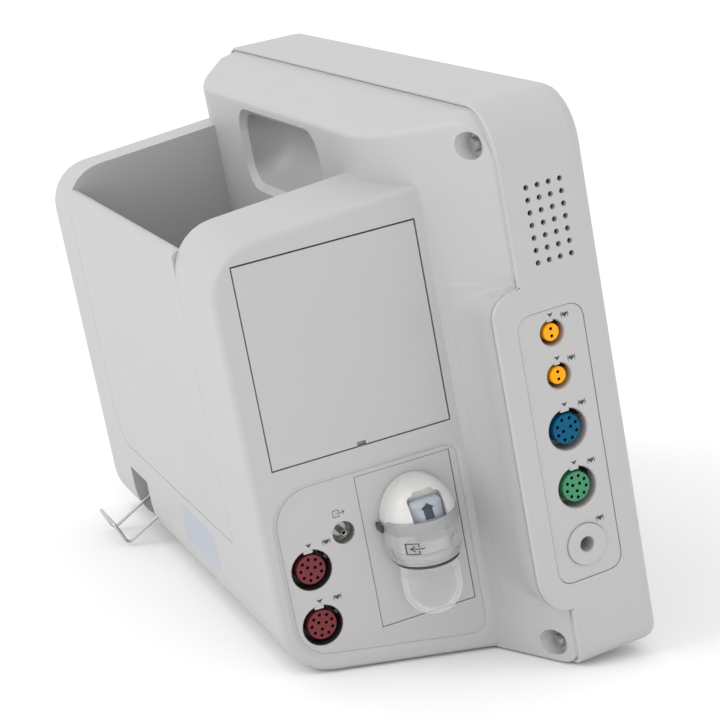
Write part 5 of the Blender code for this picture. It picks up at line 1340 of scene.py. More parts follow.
@dataclass
class Socket:
    """A patient socket: a sleeve with a key and a spring clip, and a coloured core with contact holes."""

    name: str
    seat: Seat
    opening: float
    core: float
    pins: Pins
    colour: Moulded
    slot: Slot
    sleeve: Moulded
    mouth: float = 0.0003
    depth: float = 0.0135
    wall: float = 0.0004
    fit: float = 0.0001
    floor: float = 0.0015
    setback: float = 0.0004
    tab_width: float = 0.0046
    tab_drop: float = 0.0018
    tab_depth: float = 0.0016
    tab_ease: float = 0.0001
    tab_taper: float = 0.97
    corner: float = 0.0003
    clip_at: float = math.radians(62)
    clip_inset: float = 0.0006
    clip_share: float = 0.5
    clip_thick: float = 0.0011
    clip_levels: Pair = (-0.0020, -0.0014)
    core_ease: float = 0.0005
    outer_reach: float = 0.72
    contact: float = 0.00086
    contact_depth: float = 0.004
    turn: float = 0.0
    mouth_round: float = 0.15
    tab_steps: int = 4
    clip_steps: int = 3
    rim_points: int = 4
    contact_sides: int = 14
    sides: int = 64

    def build(self) -> None:
        """Make the sleeve, its key and clip, and the core."""
        self.build_sleeve()
        self.build_core()

    def build_sleeve(self) -> None:
        """Turn the sleeve's profile, and set a key at its top and a clip at its upper right."""
        outer = self.opening / 2 - self.fit
        inner = outer - self.wall
        top, foot = -self.mouth, -self.mouth - self.depth
        profile = np.array(
            (
                (0.0, foot + self.floor),
                (inner, foot + self.floor),
                (inner, top - self.wall / 2),
                (inner + self.wall * self.mouth_round, top - self.wall * self.mouth_round),
                (inner + self.wall / 2, top),
                (outer, top),
                (outer, foot),
                (0.0, foot),
            )
        )
        surface = Surface().grid(self.seat.world(turned(profile, self.sides)))
        piece = surface.settle(self.name + "_sleeve", [self.sleeve])
        seated(piece, Body.MONITOR, Slot.DARK, self.name + "_shell")

        tab = rounded_rectangle(self.tab_width, self.tab_drop, self.corner, self.tab_steps)
        lift = np.array((0.0, (self.opening - self.tab_drop) / 2))
        sides = layers(tab + lift, -self.tab_depth, -self.tab_ease)
        face = layers(tab * self.tab_taper + lift, 0.0)
        key = Surface().tube(self.seat.world(np.concatenate((sides, face))))
        seated(key.settle(self.name + "_key", [CASE]), Body.MONITOR, Slot.CASE)

        cos, sin = math.cos(self.clip_at), math.sin(self.clip_at)
        spot = np.array((sin, cos)) * (inner - self.clip_inset)
        sizes = (self.tab_width * self.clip_share, self.clip_thick, self.corner)
        clip = rounded_rectangle(*sizes, self.clip_steps)
        clip = clip @ np.array(((cos, -sin), (sin, cos))) + spot
        spring = Surface().tube(self.seat.world(layers(clip, foot + self.floor, *self.clip_levels)))
        seated(spring.settle(self.name + "_clip", [DARK]), Body.MONITOR, Slot.DARK)

    def holes(self) -> list[np.ndarray]:
        """Outlines of the contact holes: an outer and an inner ring, clear of the key at the top.

        Returns:
            The outlines, the outer ring's first.
        """
        many, few, start, reach = self.pins.value
        radius = self.core / 2
        places = []
        if many:
            angle = np.pi / 2 + np.pi / many + self.turn + np.arange(many) * 2 * np.pi / many
            places.append(self.outer_reach * radius * np.stack((np.cos(angle), np.sin(angle)), axis=-1))
        angle = math.radians(start) + self.turn + np.arange(few) * 2 * np.pi / few
        places.append(reach * radius * np.stack((np.cos(angle), np.sin(angle)), axis=-1))
        hole = circle(self.contact, self.contact_sides)
        return [hole + place for place in np.concatenate(places)]

    def build_core(self) -> None:
        """Make the core: a turned wall with an eased rim, and a front pierced by deep contact holes whose
        walls and floors are painted near-black as shade.
        """
        radius, ease = self.core / 2, self.core_ease
        front = -self.mouth - self.setback
        foot = -self.mouth - self.depth + self.floor + self.fit
        rim = rolled(radius, front, ease, self.rim_points)[::-1]
        profile = np.concatenate((np.array(((0.0, foot), (radius, foot))), rim))
        holes = self.holes()
        surface = Surface().grid(self.seat.world(turned(profile, self.sides)))
        surface.pierced(circle(1.0, self.sides) * (radius - ease), holes, self.seat, front)
        # The holes' walls and floors take the near-black finish: painted shade in the deep holes.
        for hole in holes:
            rings = self.seat.world(layers(hole, front, front - self.contact_depth))
            surface.grid(rings, slot=1).lid(rings[1], slot=1)
        piece = surface.settle(self.name + "_insert", [self.colour, DARK])
        seated(piece, Body.MONITOR, self.slot, self.name + "_core")


@dataclass
class Sockets:
    """All the patient sockets, in the bezel's port panel and in the module fascia."""

    large: float = 0.0210
    small: float = 0.0132
    pressure: float = 0.0206
    large_core: float = 0.0146
    small_core: float = 0.0084
    small_tab_width: float = 0.0030
    small_tab_drop: float = 0.0013
    small_contact: float = 0.00080
    pressure_turn: float = math.radians(-14)
    pressure_y: float = 0.15463
    t1_z: float = 0.1658
    t2_z: float = 0.1448
    spo2_z: float = 0.1183
    ecg_z: float = 0.0893
    ibp1_z: float = 0.0729
    ibp2_z: float = 0.0444
    small_arrow: Pair = (0.0004, 0.0083)
    small_heart: Pair = (0.0078, 0.0067)
    large_arrow: Pair = (0.0003, 0.0121)
    large_heart: Pair = (0.0094, 0.0106)
    pressure_arrow: Pair = (0.0008, 0.0122)
    pressure_heart: Pair = (0.0097, 0.0117)
    cuff_heart: Pair = (0.0092, 0.0104)
    heart_size: float = 0.0014
    heart_points: int = 40
    heart_waves: tuple[tuple[int, float], ...] = ((1, 0.81), (2, -0.31), (3, -0.13), (4, -0.06))
    bracket_x: float = 0.0017
    bracket_half: float = 0.0013
    bracket_tail: float = 0.0022
    bracket_line: float = 0.0003
    arrow_half: float = 0.0016
    arrow_rise: float = 0.0010
    arrow_notch: float = 0.0007

    def build(self) -> None:
        """Make the six sockets and the marks printed above them."""
        less = {
            "tab_width": self.small_tab_width,
            "tab_drop": self.small_tab_drop,
            "contact": self.small_contact,
        }
        # The T sleeves' tan finish is painted orange bounce light on white plastic.
        for name, z in (("t1", self.t1_z), ("t2", self.t2_z)):
            seat = port_seat(PORT_Y, z, PORT_SINK)
            sizes = (self.small, self.small_core)
            Socket(name, seat, *sizes, Pins.TWO, ORANGE, Slot.ORANGE, ORANGE_BOUNCE_TAN, **less).build()
            self.build_marks(name, seat, self.small_arrow, self.small_heart)
        # The SpO2 and ECG sleeves' grey finish is painted shade on white plastic.
        for name, z, pins, colour, slot in (
            ("spo2", self.spo2_z, Pins.TEN, BLUE, Slot.BLUE),
            ("ecg", self.ecg_z, Pins.TWELVE, GREEN, Slot.GREEN),
        ):
            seat = port_seat(PORT_Y, z, PORT_SINK)
            Socket(name, seat, self.large, self.large_core, pins, colour, slot, SHADE_GREY_SLEEVE).build()
            self.build_marks(name, seat, self.large_arrow, self.large_heart)
        turned_pins = {"turn": self.pressure_turn}
        for name, z in (("ibp1", self.ibp1_z), ("ibp2", self.ibp2_z)):
            seat = side_seat(FASCIA_X, self.pressure_y, z)
            sizes = (self.pressure, self.large_core)
            Socket(name, seat, *sizes, Pins.TWELVE, MAROON, Slot.MAROON, DARK, **turned_pins).build()
            self.build_marks(name, seat, self.pressure_arrow, self.pressure_heart)
        self.build_marks("cuff", port_seat(PORT_Y, CUFF_Z, PORT_SINK), None, self.cuff_heart)

    def build_marks(self, name: str, seat: Seat, arrow: Pair | None, heart: Pair) -> None:
        """Print a small arrow that points down to a socket's key, and a small heart between two brackets.

        The heart's outline is across = sine cubed, up = 0.81 cosine less 0.31, 0.13 and 0.06 of the cosines
        of two, three and four times the angle.

        Args:
            name: the socket's name.
            seat: the socket's place.
            arrow: where the arrow stands, right and up; none where there is no arrow.
            heart: where the heart stands, right and up.
        """
        turn = np.linspace(0.0, 2 * np.pi, self.heart_points, endpoint=False)
        up = sum(weight * np.cos(many * turn) for many, weight in self.heart_waves)
        outlines = [self.heart_size * np.stack((np.sin(turn) ** 3, up), axis=-1) + np.array(heart)]
        upright = ((self.bracket_x, -self.bracket_half), (self.bracket_x, self.bracket_half))
        tail = ((self.bracket_x, 0.0), (self.bracket_tail, 0.0))
        for side in (-1.0, 1.0):
            for start, end in (upright, tail):
                line = stroke(start, end, self.bracket_line) * np.array((side, 1.0))
                outlines.append(line + np.array(heart))
        if arrow is not None:
            half, rise = self.arrow_half, self.arrow_rise
            corners = np.array(((-half, rise), (0.0, -rise), (half, rise), (0.0, self.arrow_notch)))
            outlines.append(corners + np.array(arrow))
        marks = Surface()
        for outline in outlines:
            marks.tube(seat.world(layers(outline, -PRINT_ROOT, PRINT_HEIGHT)))
        seated(marks.settle(name + "_marks", [INK]), Body.MONITOR, Slot.DARK)


@dataclass
class CuffSocket:
    """The cuff hose's socket: a flat white ring round a bore with an eased mouth."""

    ring: float = 0.0103
    bore: float = 0.0036
    proud: float = 0.0012
    depth: float = 0.0138
    floor: float = 0.0015
    ease: float = 0.0006
    roll_points: int = 6
    sides: int = 72

    def build(self) -> None:
        """Turn the ring's profile: floor of the bore, bore, rolled mouth, flat face, rolled rim and back."""
        mouth = rolled(self.bore, self.proud, 2 * self.ease, self.roll_points, -1.0)[::-1]
        rim = rolled(self.ring, self.proud, self.ease, self.roll_points)
        low = np.array(((0.0, -self.depth + self.floor), (self.bore, -self.depth + self.floor)))
        back = np.array(((self.ring, -self.depth), (0.0, -self.depth)))
        profile = np.concatenate((low, mouth, rim, back))
        seat = port_seat(PORT_Y, CUFF_Z, PORT_SINK)
        surface = Surface().grid(seat.world(turned(profile, self.sides)))
        seated(surface.settle("cuff_ring", [CASE]), Body.MONITOR, Slot.CASE, "nibp_socket")


@dataclass
class GasOutlet:
    """The gas outlet: a slotted steel cup with a tube nipple in its middle, and a printed mark above it."""

    y: float = 0.13563
    z: float = 0.0863
    cup: float = 0.00575
    wall: float = 0.0003
    depth: float = 0.009
    floor: float = 0.0015
    cone: float = 2.4
    bowl_draw: float = 0.0002
    bowl_low: float = 0.0016
    bowl_high: float = 0.003
    lip_drop: Triple = (0.0008, 0.0004, 0.0003)
    cup_sides: int = 160
    slots: int = 4
    slot_turn: float = 0.35
    slot_width: float = 0.16
    slot_depth: float = 0.0004
    nipple: float = 0.0015
    bore: float = 0.0009
    bore_depth: float = 0.004
    length: float = 0.0075
    stand: float = 0.0018
    tip_ease: float = 0.0002
    tip_round: float = 0.0005
    step_drop: Pair = (0.0040, 0.0042)
    step_share: float = 1.05
    nipple_sides: int = 40
    mark_up: float = 0.0102
    mark: FrameMark = FrameMark(-0.0036, -0.0006, 0.0016, 0.0006, -0.0022, 0.0022, 0.0011, 0.0009, 0.00028)

    def build(self) -> None:
        """Make the cup, the nipple and the mark."""
        seat = side_seat(FASCIA_X, self.y, self.z)
        self.build_cup(seat)
        self.build_nipple(seat)
        marks = Surface()
        for outline in self.mark.outlines():
            raised_line = layers(outline + np.array((0.0, self.mark_up)), -PRINT_ROOT, PRINT_HEIGHT)
            marks.tube(seat.world(raised_line))
        seated(marks.settle("outlet_mark", [INK]), Body.MONITOR, Slot.DARK)

    def build_cup(self, seat: Seat) -> None:
        """Turn the cup; a narrow bell of the angle widens its bore at each slot.

        Args:
            seat: the outlet's place.
        """
        outer, inner = self.cup, self.cup - self.wall
        floor = self.floor - self.depth
        low, middle, high = self.lip_drop
        profile = np.array(
            (
                (0.0, floor),
                (self.nipple * self.cone, floor),
                (inner - self.bowl_draw, floor + self.bowl_low),
                (inner, floor + self.bowl_high),
                (inner, -low),
                (inner + self.wall, -middle),
                (outer, -high),
                (outer, -self.depth),
                (0.0, -self.depth),
            )
        )
        grid = turned(profile, self.cup_sides)
        angle = np.arctan2(grid[..., 1], grid[..., 0]) + self.slot_turn
        bell = np.exp(-((np.sin(angle * self.slots / 2) / self.slot_width) ** 2))
        cut = np.zeros(len(profile))
        cut[3:5] = self.slot_depth
        radius = np.maximum(np.hypot(grid[..., 0], grid[..., 1]), TINY)
        grid[..., :2] *= (1.0 + cut[:, None] * bell / radius)[..., None]
        piece = Surface().grid(seat.world(grid)).settle("outlet_cup", [TURNED])
        seated(piece, Body.MONITOR, Slot.DARK, "gas_outlet_cup")

    def build_nipple(self, seat: Seat) -> None:
        """Turn the nipple: bore, painted near-black inside as shade, rounded tip and a plain shaft with a
        small step.

        Args:
            seat: the outlet's place.
        """
        foot = self.stand - self.depth
        tip = foot + self.length
        wide = self.nipple * self.step_share
        above, below = self.step_drop
        bored = np.array(((0.0, tip - self.bore_depth), (self.bore, tip - self.bore_depth)))
        profile = np.array(
            (
                (self.bore, tip - self.tip_ease),
                (self.bore + self.tip_ease, tip),
                (self.nipple - self.tip_ease, tip),
                (self.nipple, tip - self.tip_round),
                (self.nipple, tip - above),
                (wide, tip - below),
                (wide, foot),
                (0.0, foot),
            )
        )
        inside = turned(np.concatenate((bored, profile[:1])), self.nipple_sides)
        # The bore takes the near-black finish: painted shade inside the tube.
        surface = Surface().grid(seat.world(inside), slot=1)
        surface.grid(seat.world(turned(profile, self.nipple_sides)))
        piece = surface.settle("outlet_nipple", [TURNED, DARK])
        seated(piece, Body.MONITOR, Slot.STEEL, "gas_outlet_nipple")


@dataclass
class WaterTrap:
    """The dock with its dome and latch on the gas plate, and the clear trap: cap, filter, seal and cup."""

    middle_y: float = 0.0990
    flank: float = 0.006
    dock_width: float = 0.0320
    dock_reach: float = 0.0235
    dome_width: float = 0.0360
    dome_reach: float = 0.0242
    dock_foot: float = 0.072
    foot_ease: Triple = (0.0008, 0.0012, 0.0006)
    shoulder: float = 0.086
    ledge: Triple = (0.0001, 0.0034, 0.0002)
    step: float = 0.0006
    dome: float = 0.020
    dome_end: float = 0.985
    latch_width: float = 0.0168
    latch_foot: float = 0.0783
    latch_height: float = 0.0187
    latch_corner: float = 0.0024
    latch_ease: float = 0.0004
    latch_depth: float = 0.0105
    latch_setback: float = 0.0018
    latch_travel: float = 0.0025
    latch_lip: Triple = (0.0007, 0.0022, 0.0011)
    latch_dip: Triple = (0.0006, 0.0052, 0.0022)
    arrow_up: float = 0.0136
    stem_half: float = 0.0023
    stem_foot: float = 0.0036
    head_half: float = 0.0034
    head_foot: float = 0.0012
    head_top: float = 0.0038
    arrow_thick: float = 0.00006
    pocket_low: float = 0.0003
    pocket_high: float = 0.0004
    pocket_corner: float = 0.0030
    notch_share: float = 0.62
    notch_high: float = 0.0018
    notch_corner: float = 0.0016
    pocket_reach: float = 0.01
    dock_edge: float = 0.0003
    shade_block_width: float = 0.0016
    shade_block_height: float = 0.0040
    shade_block_corner: float = 0.0007
    shade_block_across: float = -0.0196
    shade_block_drop: float = 0.0016
    shade_block_levels: Triple = (-0.0001, 0.0056, 0.0061)
    slide: float = 0.0004
    cap_wall: float = 0.0016
    cap_foot: float = 0.0661
    cap_inset: float = 0.0022
    cap_drop: float = 0.0003
    floor_insets: Pair = (0.0140, 0.0060)
    ribs: int = 7
    rib_start: float = 0.0004
    rib: float = 0.0006
    wall_start: float = 0.0046
    wall_end: float = 0.0005
    hair: float = 0.0001
    inner_ease: float = 0.0012
    rim_height: float = 0.0032
    rim_proud: float = 0.0005
    rim_ease: float = 0.0006
    rim_inset: float = 0.0009
    lip: float = 0.0030
    lip_from: float = 0.003
    lip_run: float = 0.008
    mark_spot: Pair = (-0.0110, 0.0101)
    mark_thick: float = 0.00008
    mark: FrameMark = FrameMark(-0.0028, 0.0022, 0.0026, 0.0011, 0.0044, -0.0012, 0.0004, 0.0013, 0.0005)
    boss: float = 0.0030
    boss_spot: Pair = (0.0104, 0.0090)
    boss_points: int = 40
    boss_profile: tuple[Pair, ...] = (
        (0.0, 0.0005),
        (0.6, 0.0005),
        (0.8, 0.0005),
        (0.88, 0.0009),
        (0.95, 0.0009),
        (1.0, 0.0006),
        (1.0, -0.0003),
    )
    filter_profile: tuple[Pair, ...] = (
        (0.0006, 0.0048),
        (0.0010, 0.0042),
        (0.0047, 0.0034),
        (0.0051, 0.0038),
    )
    seal_span: float = 0.0312
    seal_reach: float = 0.0238
    seal_top: float = 0.0658
    seal_thickness: float = 0.0010
    seal_width: float = 0.0014
    seal_powers: Pair = (0.4, 0.6)
    seal_points: int = 16
    cup_width: float = 0.0296
    cup_reach: float = 0.0215
    cup_back: float = 0.0012
    cup_top: float = 0.0641
    cup_drop: float = 0.0276
    cup_round: float = 0.015
    cup_floor_inset: float = 0.0125
    cup_fullest: float = 0.28
    cup_back_draw: float = 0.3
    cup_rim: tuple[Pair, ...] = (
        (0.0050, 0.0),
        (0.0046, 0.0),
        (0.0040, 0.0006),
        (0.0014, 0.0006),
        (0.0008, 0.0),
    )
    cup_rise: float = 0.0008
    cup_rings: int = 22
    cup_points: int = 96
    d_points: int = 65
    dome_rings: int = 30
    pocket_steps: int = 8
    shade_block_steps: int = 5
    latch_rings: int = 18
    latch_steps: int = 10
    arrow_points: int = 9
    mark_points: int = 6

    def seat(self) -> Seat:
        """The trap's seat: right towards the screen, up, and out from the gas plate."""
        return side_seat(FASCIA_X, self.middle_y, 0.0)

    def cap_size(self) -> Pair:
        """The cap's width and reach: the dock's, a slide fit and the wall."""
        wide = self.dock_width + 2 * self.slide + 2 * self.cap_wall
        return wide, self.dock_reach + self.slide + self.cap_wall

    def rings(
        self, heights: np.ndarray, widths: np.ndarray, reaches: np.ndarray, back: float = 0.0
    ) -> np.ndarray:
        """D-shaped rings: across is half the width times cosine, out is the flank plus the rest times sine.

        Args:
            heights: each ring's height.
            widths: each ring's width.
            reaches: how far each ring stands out.
            back: how far its flat back stands off the plate.

        Returns:
            Rows of rings, closed round their flat back, as right, up and out.
        """
        angle = np.linspace(0.0, np.pi, self.d_points)
        widths, reaches = np.asarray(widths)[:, None], np.asarray(reaches)[:, None]
        flank = np.minimum(self.flank, reaches)
        out = np.maximum(flank + (reaches - flank) * np.sin(angle), back)
        across = widths / 2 * np.cos(angle)
        ends = np.full_like(widths, back)
        out = np.concatenate((ends, out, ends), axis=1)
        across = np.concatenate((widths / 2, across, -widths / 2), axis=1)
        up = np.broadcast_to(np.asarray(heights)[:, None], out.shape)
        return np.stack((across, up, out), axis=-1)

    def dome_rise(self, z: np.ndarray) -> np.ndarray:
        """How much of its full size the dome still has at height z: a quarter ellipse above the shoulder."""
        climb = np.clip((z - self.shoulder) / self.dome, 0.0, 1.0)
        return np.sqrt(1.0 - climb * climb)

    def build(self) -> None:
        """Make the dock, the latch, the cap, the filter, the seal and the cup."""
        self.build_dock()
        self.build_latch()
        self.build_cap()
        self.build_filter()
        self.build_seal()
        self.build_cup()

    def build_dock(self) -> None:
        """Make the dock: a D-shaped foot, a shoulder and a dome, with a round-topped pocket for the latch."""
        climb = np.linspace(0.0, np.pi / 2 * self.dome_end, self.dome_rings)
        dome_z = self.shoulder + np.maximum(self.dome * np.sin(climb), self.step)
        rise = self.dome_rise(dome_z)
        up, narrow, short = self.foot_ease
        over, wider, longer = self.ledge
        lead = np.array((self.dock_foot, self.dock_foot + up, self.shoulder, self.shoulder + over))
        heights = np.concatenate((lead, dome_z))
        lead_widths = self.dock_width + np.array((-narrow, 0.0, 0.0, wider))
        lead_reaches = self.dock_reach + np.array((-short, 0.0, 0.0, longer))
        widths = np.concatenate((lead_widths, self.dome_width * rise))
        reaches = np.concatenate((lead_reaches, self.dome_reach * rise))
        dock = Surface().tube(self.seat().world(self.rings(heights, widths, reaches)))
        piece = dock.settle("dock_dome", [PALE], sharp=40.0)

        low = self.latch_foot - self.pocket_low
        high = self.latch_foot + self.latch_height + self.latch_travel
        inner = self.dock_reach - self.latch_depth - self.slide
        wide = self.latch_width + 2 * self.slide
        for width, top, corner in (
            (wide, high + self.pocket_high, self.pocket_corner),
            (wide * self.notch_share, high + self.notch_high, self.notch_corner),
        ):
            outline = rounded_rectangle(width, top - low, corner, self.pocket_steps) + (0.0, (low + top) / 2)
            rows = layers(outline, inner, self.dome_reach + self.pocket_reach)
            self.carve(piece, Surface().tube(self.seat().world(rows)).settle("pocket", [PALE]))
        eased(piece, self.dock_edge, math.radians(40))
        seated(piece, Body.MONITOR, Slot.CASE, "trap_dock")

        # The dark block at the dome's shoulder is painted shade: it stands in for the shaded gap there.
        outline = rounded_rectangle(self.shade_block_width, self.shade_block_height, self.shade_block_corner, self.shade_block_steps)
        outline = outline + np.array((self.shade_block_across, self.shoulder - self.shade_block_drop))
        shade_block = Surface().tube(self.seat().world(layers(outline, *self.shade_block_levels)))
        seated(shade_block.settle("dock_shade_block", [DARK]), Body.MONITOR, Slot.DARK)

    @staticmethod
    def carve(piece: bpy.types.Object, cutter: bpy.types.Object) -> None:
        """Cut one piece with another, keep the result as the piece's mesh and remove the cutter.

        Args:
            piece: what is cut.
            cutter: what it is cut with.
        """
        cut = piece.modifiers.new("pocket", "BOOLEAN")
        cut.operation = "DIFFERENCE"
        cut.solver = "EXACT"
        cut.object = cutter
        bpy.context.view_layer.update()
        shaped = piece.evaluated_get(bpy.context.evaluated_depsgraph_get())
        mesh = bpy.data.meshes.new_from_object(shaped)
        piece.modifiers.clear()
        piece.data = mesh
        mesh.shade_smooth()
        mesh.set_sharp_from_angle(angle=math.radians(35))
        bpy.data.objects.remove(cutter, do_unlink=True)

    def latch_front(self, across: np.ndarray, up: np.ndarray) -> np.ndarray:
        """How far the latch's front stands out: the dock's round front less a setback, with a thumb lip.

        The lip and the dip below it are bells of the height: how high, how far below the top and how wide.

        Args:
            across: places to the right of the middle.
            up: their heights.

        Returns:
            How far the front stands out at each.
        """
        rise = self.dome_rise(up)
        half, reach = self.dock_width / 2 * rise, self.dock_reach * rise
        bow = np.sqrt(np.clip(1.0 - (across / half) ** 2, 0.0, 1.0))
        top = self.latch_foot + self.latch_height
        bells = (self.latch_lip, self.latch_dip)
        lip, dip = (size * np.exp(-(((up - top + below) / width) ** 2)) for size, below, width in bells)
        return self.flank + (reach - self.flank) * bow - self.latch_setback + lip - dip

    def build_latch(self) -> None:
        """Make the latch: rings shrink from its round-cornered outline to its middle, out by latch_front."""
        sizes = (self.latch_width, self.latch_height, self.latch_corner)
        outline = rounded_rectangle(*sizes, self.latch_steps)
        centre = np.array((0.0, self.latch_foot + self.latch_height / 2))
        scale = np.linspace(0.0, 1.0, self.latch_rings)[:, None, None]
        flat = centre + outline[None] * scale
        out = self.latch_front(flat[..., 0], flat[..., 1])
        out[-1] -= self.latch_ease
        front = np.concatenate((flat, out[..., None]), axis=-1)
        back = raised(centre + outline, self.dock_reach - self.latch_depth)[None]
        grid = self.seat().world(np.concatenate((front, back)))
        piece = Surface().grid(grid).lid(grid[-1]).settle("latch_slide", [LATCH], sharp=40.0)
        seated(piece, Body.LATCH, Slot.LATCH, "trap_latch")

        stem, wide = self.stem_half, self.head_half
        foot, neck, top = -self.stem_foot, self.head_foot, self.head_top
        arrow = Surface()
        for corners in (
            np.array(((-stem, foot), (stem, foot), (stem, neck), (-stem, neck))),
            np.array(((-wide, neck), (wide, neck), (0.0, top), (0.0, top))),
        ):
            flat = spread(corners, self.arrow_points, self.arrow_points)
            flat = flat + np.array((0.0, self.latch_foot + self.arrow_up))
            out = self.latch_front(flat[..., 0], flat[..., 1])
            arrow.grid(self.wafer(flat, out, self.arrow_thick), wrap=False, loop=True)
        seated(arrow.settle("latch_arrow", [INK]), Body.LATCH, Slot.DARK)

    def wafer(self, flat: np.ndarray, out: np.ndarray, thick: float) -> np.ndarray:
        """A thin print on a curved face: its grid a little proud, then the same grid backwards a little sunk.

        Args:
            flat: rows by columns of right and up.
            out: how far the face stands out at each.
            thick: how far the print stands proud and reaches in.

        Returns:
            A grid of world points whose rows loop round both faces.
        """
        face = np.concatenate((flat, (out + thick)[..., None]), axis=-1)
        rear = np.concatenate((flat, (out - thick)[..., None]), axis=-1)[::-1]
        return self.seat().world(np.concatenate((face, rear)))

    def build_cap(self) -> None:
        """Make the cap: a wall and floor carried round the D, outside up, over the rim, inside down.

        Each profile row is a height and an inset. The rim rises at the front along a smooth step of its
        reach.
        """
        wide, far = self.cap_size()
        top = self.shoulder - self.cap_drop
        floor = self.dock_foot - self.slide
        band = top - self.rim_height
        low, wall, hair, proud, ease = self.cap_foot, self.cap_wall, self.hair, self.rim_proud, self.rim_ease
        deep, middle = self.floor_insets
        foot = np.array(((low, deep), (low, middle), (low, self.cap_inset)))
        count = np.arange(self.ribs)
        draw = self.rib * (count % 2) + np.linspace(self.cap_inset - self.rib, 0.0, self.ribs)
        ribs = np.stack((low + self.rib_start + self.rib * count, draw), axis=-1)
        plain = np.array(((low + self.wall_start, 0.0), (band - self.wall_end, 0.0), (band, -hair)))
        outside = np.concatenate((foot, ribs, plain))
        rim = np.array(
            (
                (band, -hair),
                (band + 4 * hair, -proud),
                (top - ease, -proud - hair),
                (top - hair, -proud + 3 * hair),
                (top, 0.0),
                (top, ease),
                (top - ease, self.rim_inset),
                (band, wall),
            )
        )
        inside = np.array(
            (
                (band, wall),
                (floor + self.inner_ease, wall),
                (floor, wall + self.inner_ease),
                (floor, middle),
                (floor, deep),
            )
        )
        ribbed = len(foot) + len(ribs)
        surface = Surface()
        sheets = []
        for slot, rows in ((0, outside[:ribbed]), (1, outside[ribbed - 1 :]), (2, rim), (1, inside)):
            heights, insets = rows.T
            grid = self.rings(heights, wide - 2 * insets, far - insets)
            climb = np.clip((grid[..., 2] - self.lip_from) / self.lip_run, 0.0, 1.0)
            share = np.clip((heights - band) / (top - band), 0.0, 1.0)[:, None]
            grid[..., 1] += self.lip * share * climb * climb * (3.0 - 2.0 * climb)
            sheets.append(self.seat().world(grid))
            surface.grid(sheets[-1], wrap=False, slot=slot)
        edge = np.concatenate(sheets)
        surface.lid(np.concatenate((edge[:, 0], edge[::-1, -1])))
        surface.lid(edge[0]).lid(edge[-1])
        seated(surface.settle("trap_lid", [FROST, MILKY, RIM], sharp=30.0), Body.TRAP, Slot.CLEAR, "trap_cap")
        self.build_cap_marks()

    def cap_front(self, across: np.ndarray) -> np.ndarray:
        """How far the cap's wall stands out: the flank plus the rest of the reach along an ellipse.

        Args:
            across: places to the right of the middle.

        Returns:
            How far the wall stands out at each.
        """
        wide, far = self.cap_size()
        bow = np.sqrt(np.clip(1.0 - (across / (wide / 2)) ** 2, 0.0, 1.0))
        return self.flank + (far - self.flank) * bow

    def build_cap_marks(self) -> None:
        """Print a frame with an arrow into it on the cap, and raise a round boss beside it.

        Each row of boss_profile is a share of the boss's radius and how far it stands off the wall.
        """
        marks = Surface()
        for corners in self.mark.outlines():
            flat = spread(corners, 2, self.mark_points) + np.array(self.mark_spot)
            flat = flat + np.array((0.0, self.cap_foot))
            marks.grid(self.wafer(flat, self.cap_front(flat[..., 0]), self.mark_thick), wrap=False, loop=True)
        seated(marks.settle("trap_mark", [INK]), Body.TRAP, Slot.DARK)

        share, rise = np.array(self.boss_profile).T
        spot = np.array(self.boss_spot) + np.array((0.0, self.cap_foot))
        flat = spot + (share * self.boss)[:, None, None] * circle(1.0, self.boss_points)
        boss = np.concatenate((flat, (self.cap_front(flat[..., 0]) + rise[:, None])[..., None]), axis=-1)
        world = self.seat().world(boss)
        seated(Surface().grid(world).lid(world[-1]).settle("trap_boss", [MILKY]), Body.TRAP, Slot.CLEAR)

    def build_seal(self) -> None:
        """Make the seal: a round-cornered section, from powers of cosine and sine, carried round the D."""
        cos, sin = circle(1.0, self.seal_points).T
        half, depth = self.seal_thickness / 2, self.seal_width / 2
        across, along = self.seal_powers
        inset = depth - depth * np.sign(cos) * np.abs(cos) ** across
        height = self.seal_top - half + half * np.sign(sin) * np.abs(sin) ** along
        rings = self.rings(height, self.seal_span - 2 * inset, self.seal_reach - inset)
        rings[..., 2] = np.maximum(rings[..., 2], self.cup_back + inset[:, None])
        surface = Surface().grid(self.seat().world(rings), loop=True)
        seated(surface.settle("trap_gasket", [RUBBER]), Body.TRAP, Slot.RUBBER, "trap_seal")

    def build_filter(self) -> None:
        """Make the pale filter block in the cap's floor: D rings, drawn in a little at both ends.

        Each row of filter_profile is a height above the cap's foot and an inset.
        """
        wide, far = self.cap_size()
        heights, inset = np.array(self.filter_profile).T
        rows = self.rings(self.cap_foot + heights, wide - 2 * inset, far - inset, self.cup_back)
        seated(Surface().tube(self.seat().world(rows)).settle("trap_filter", [FILTER]), Body.TRAP, Slot.CASE)

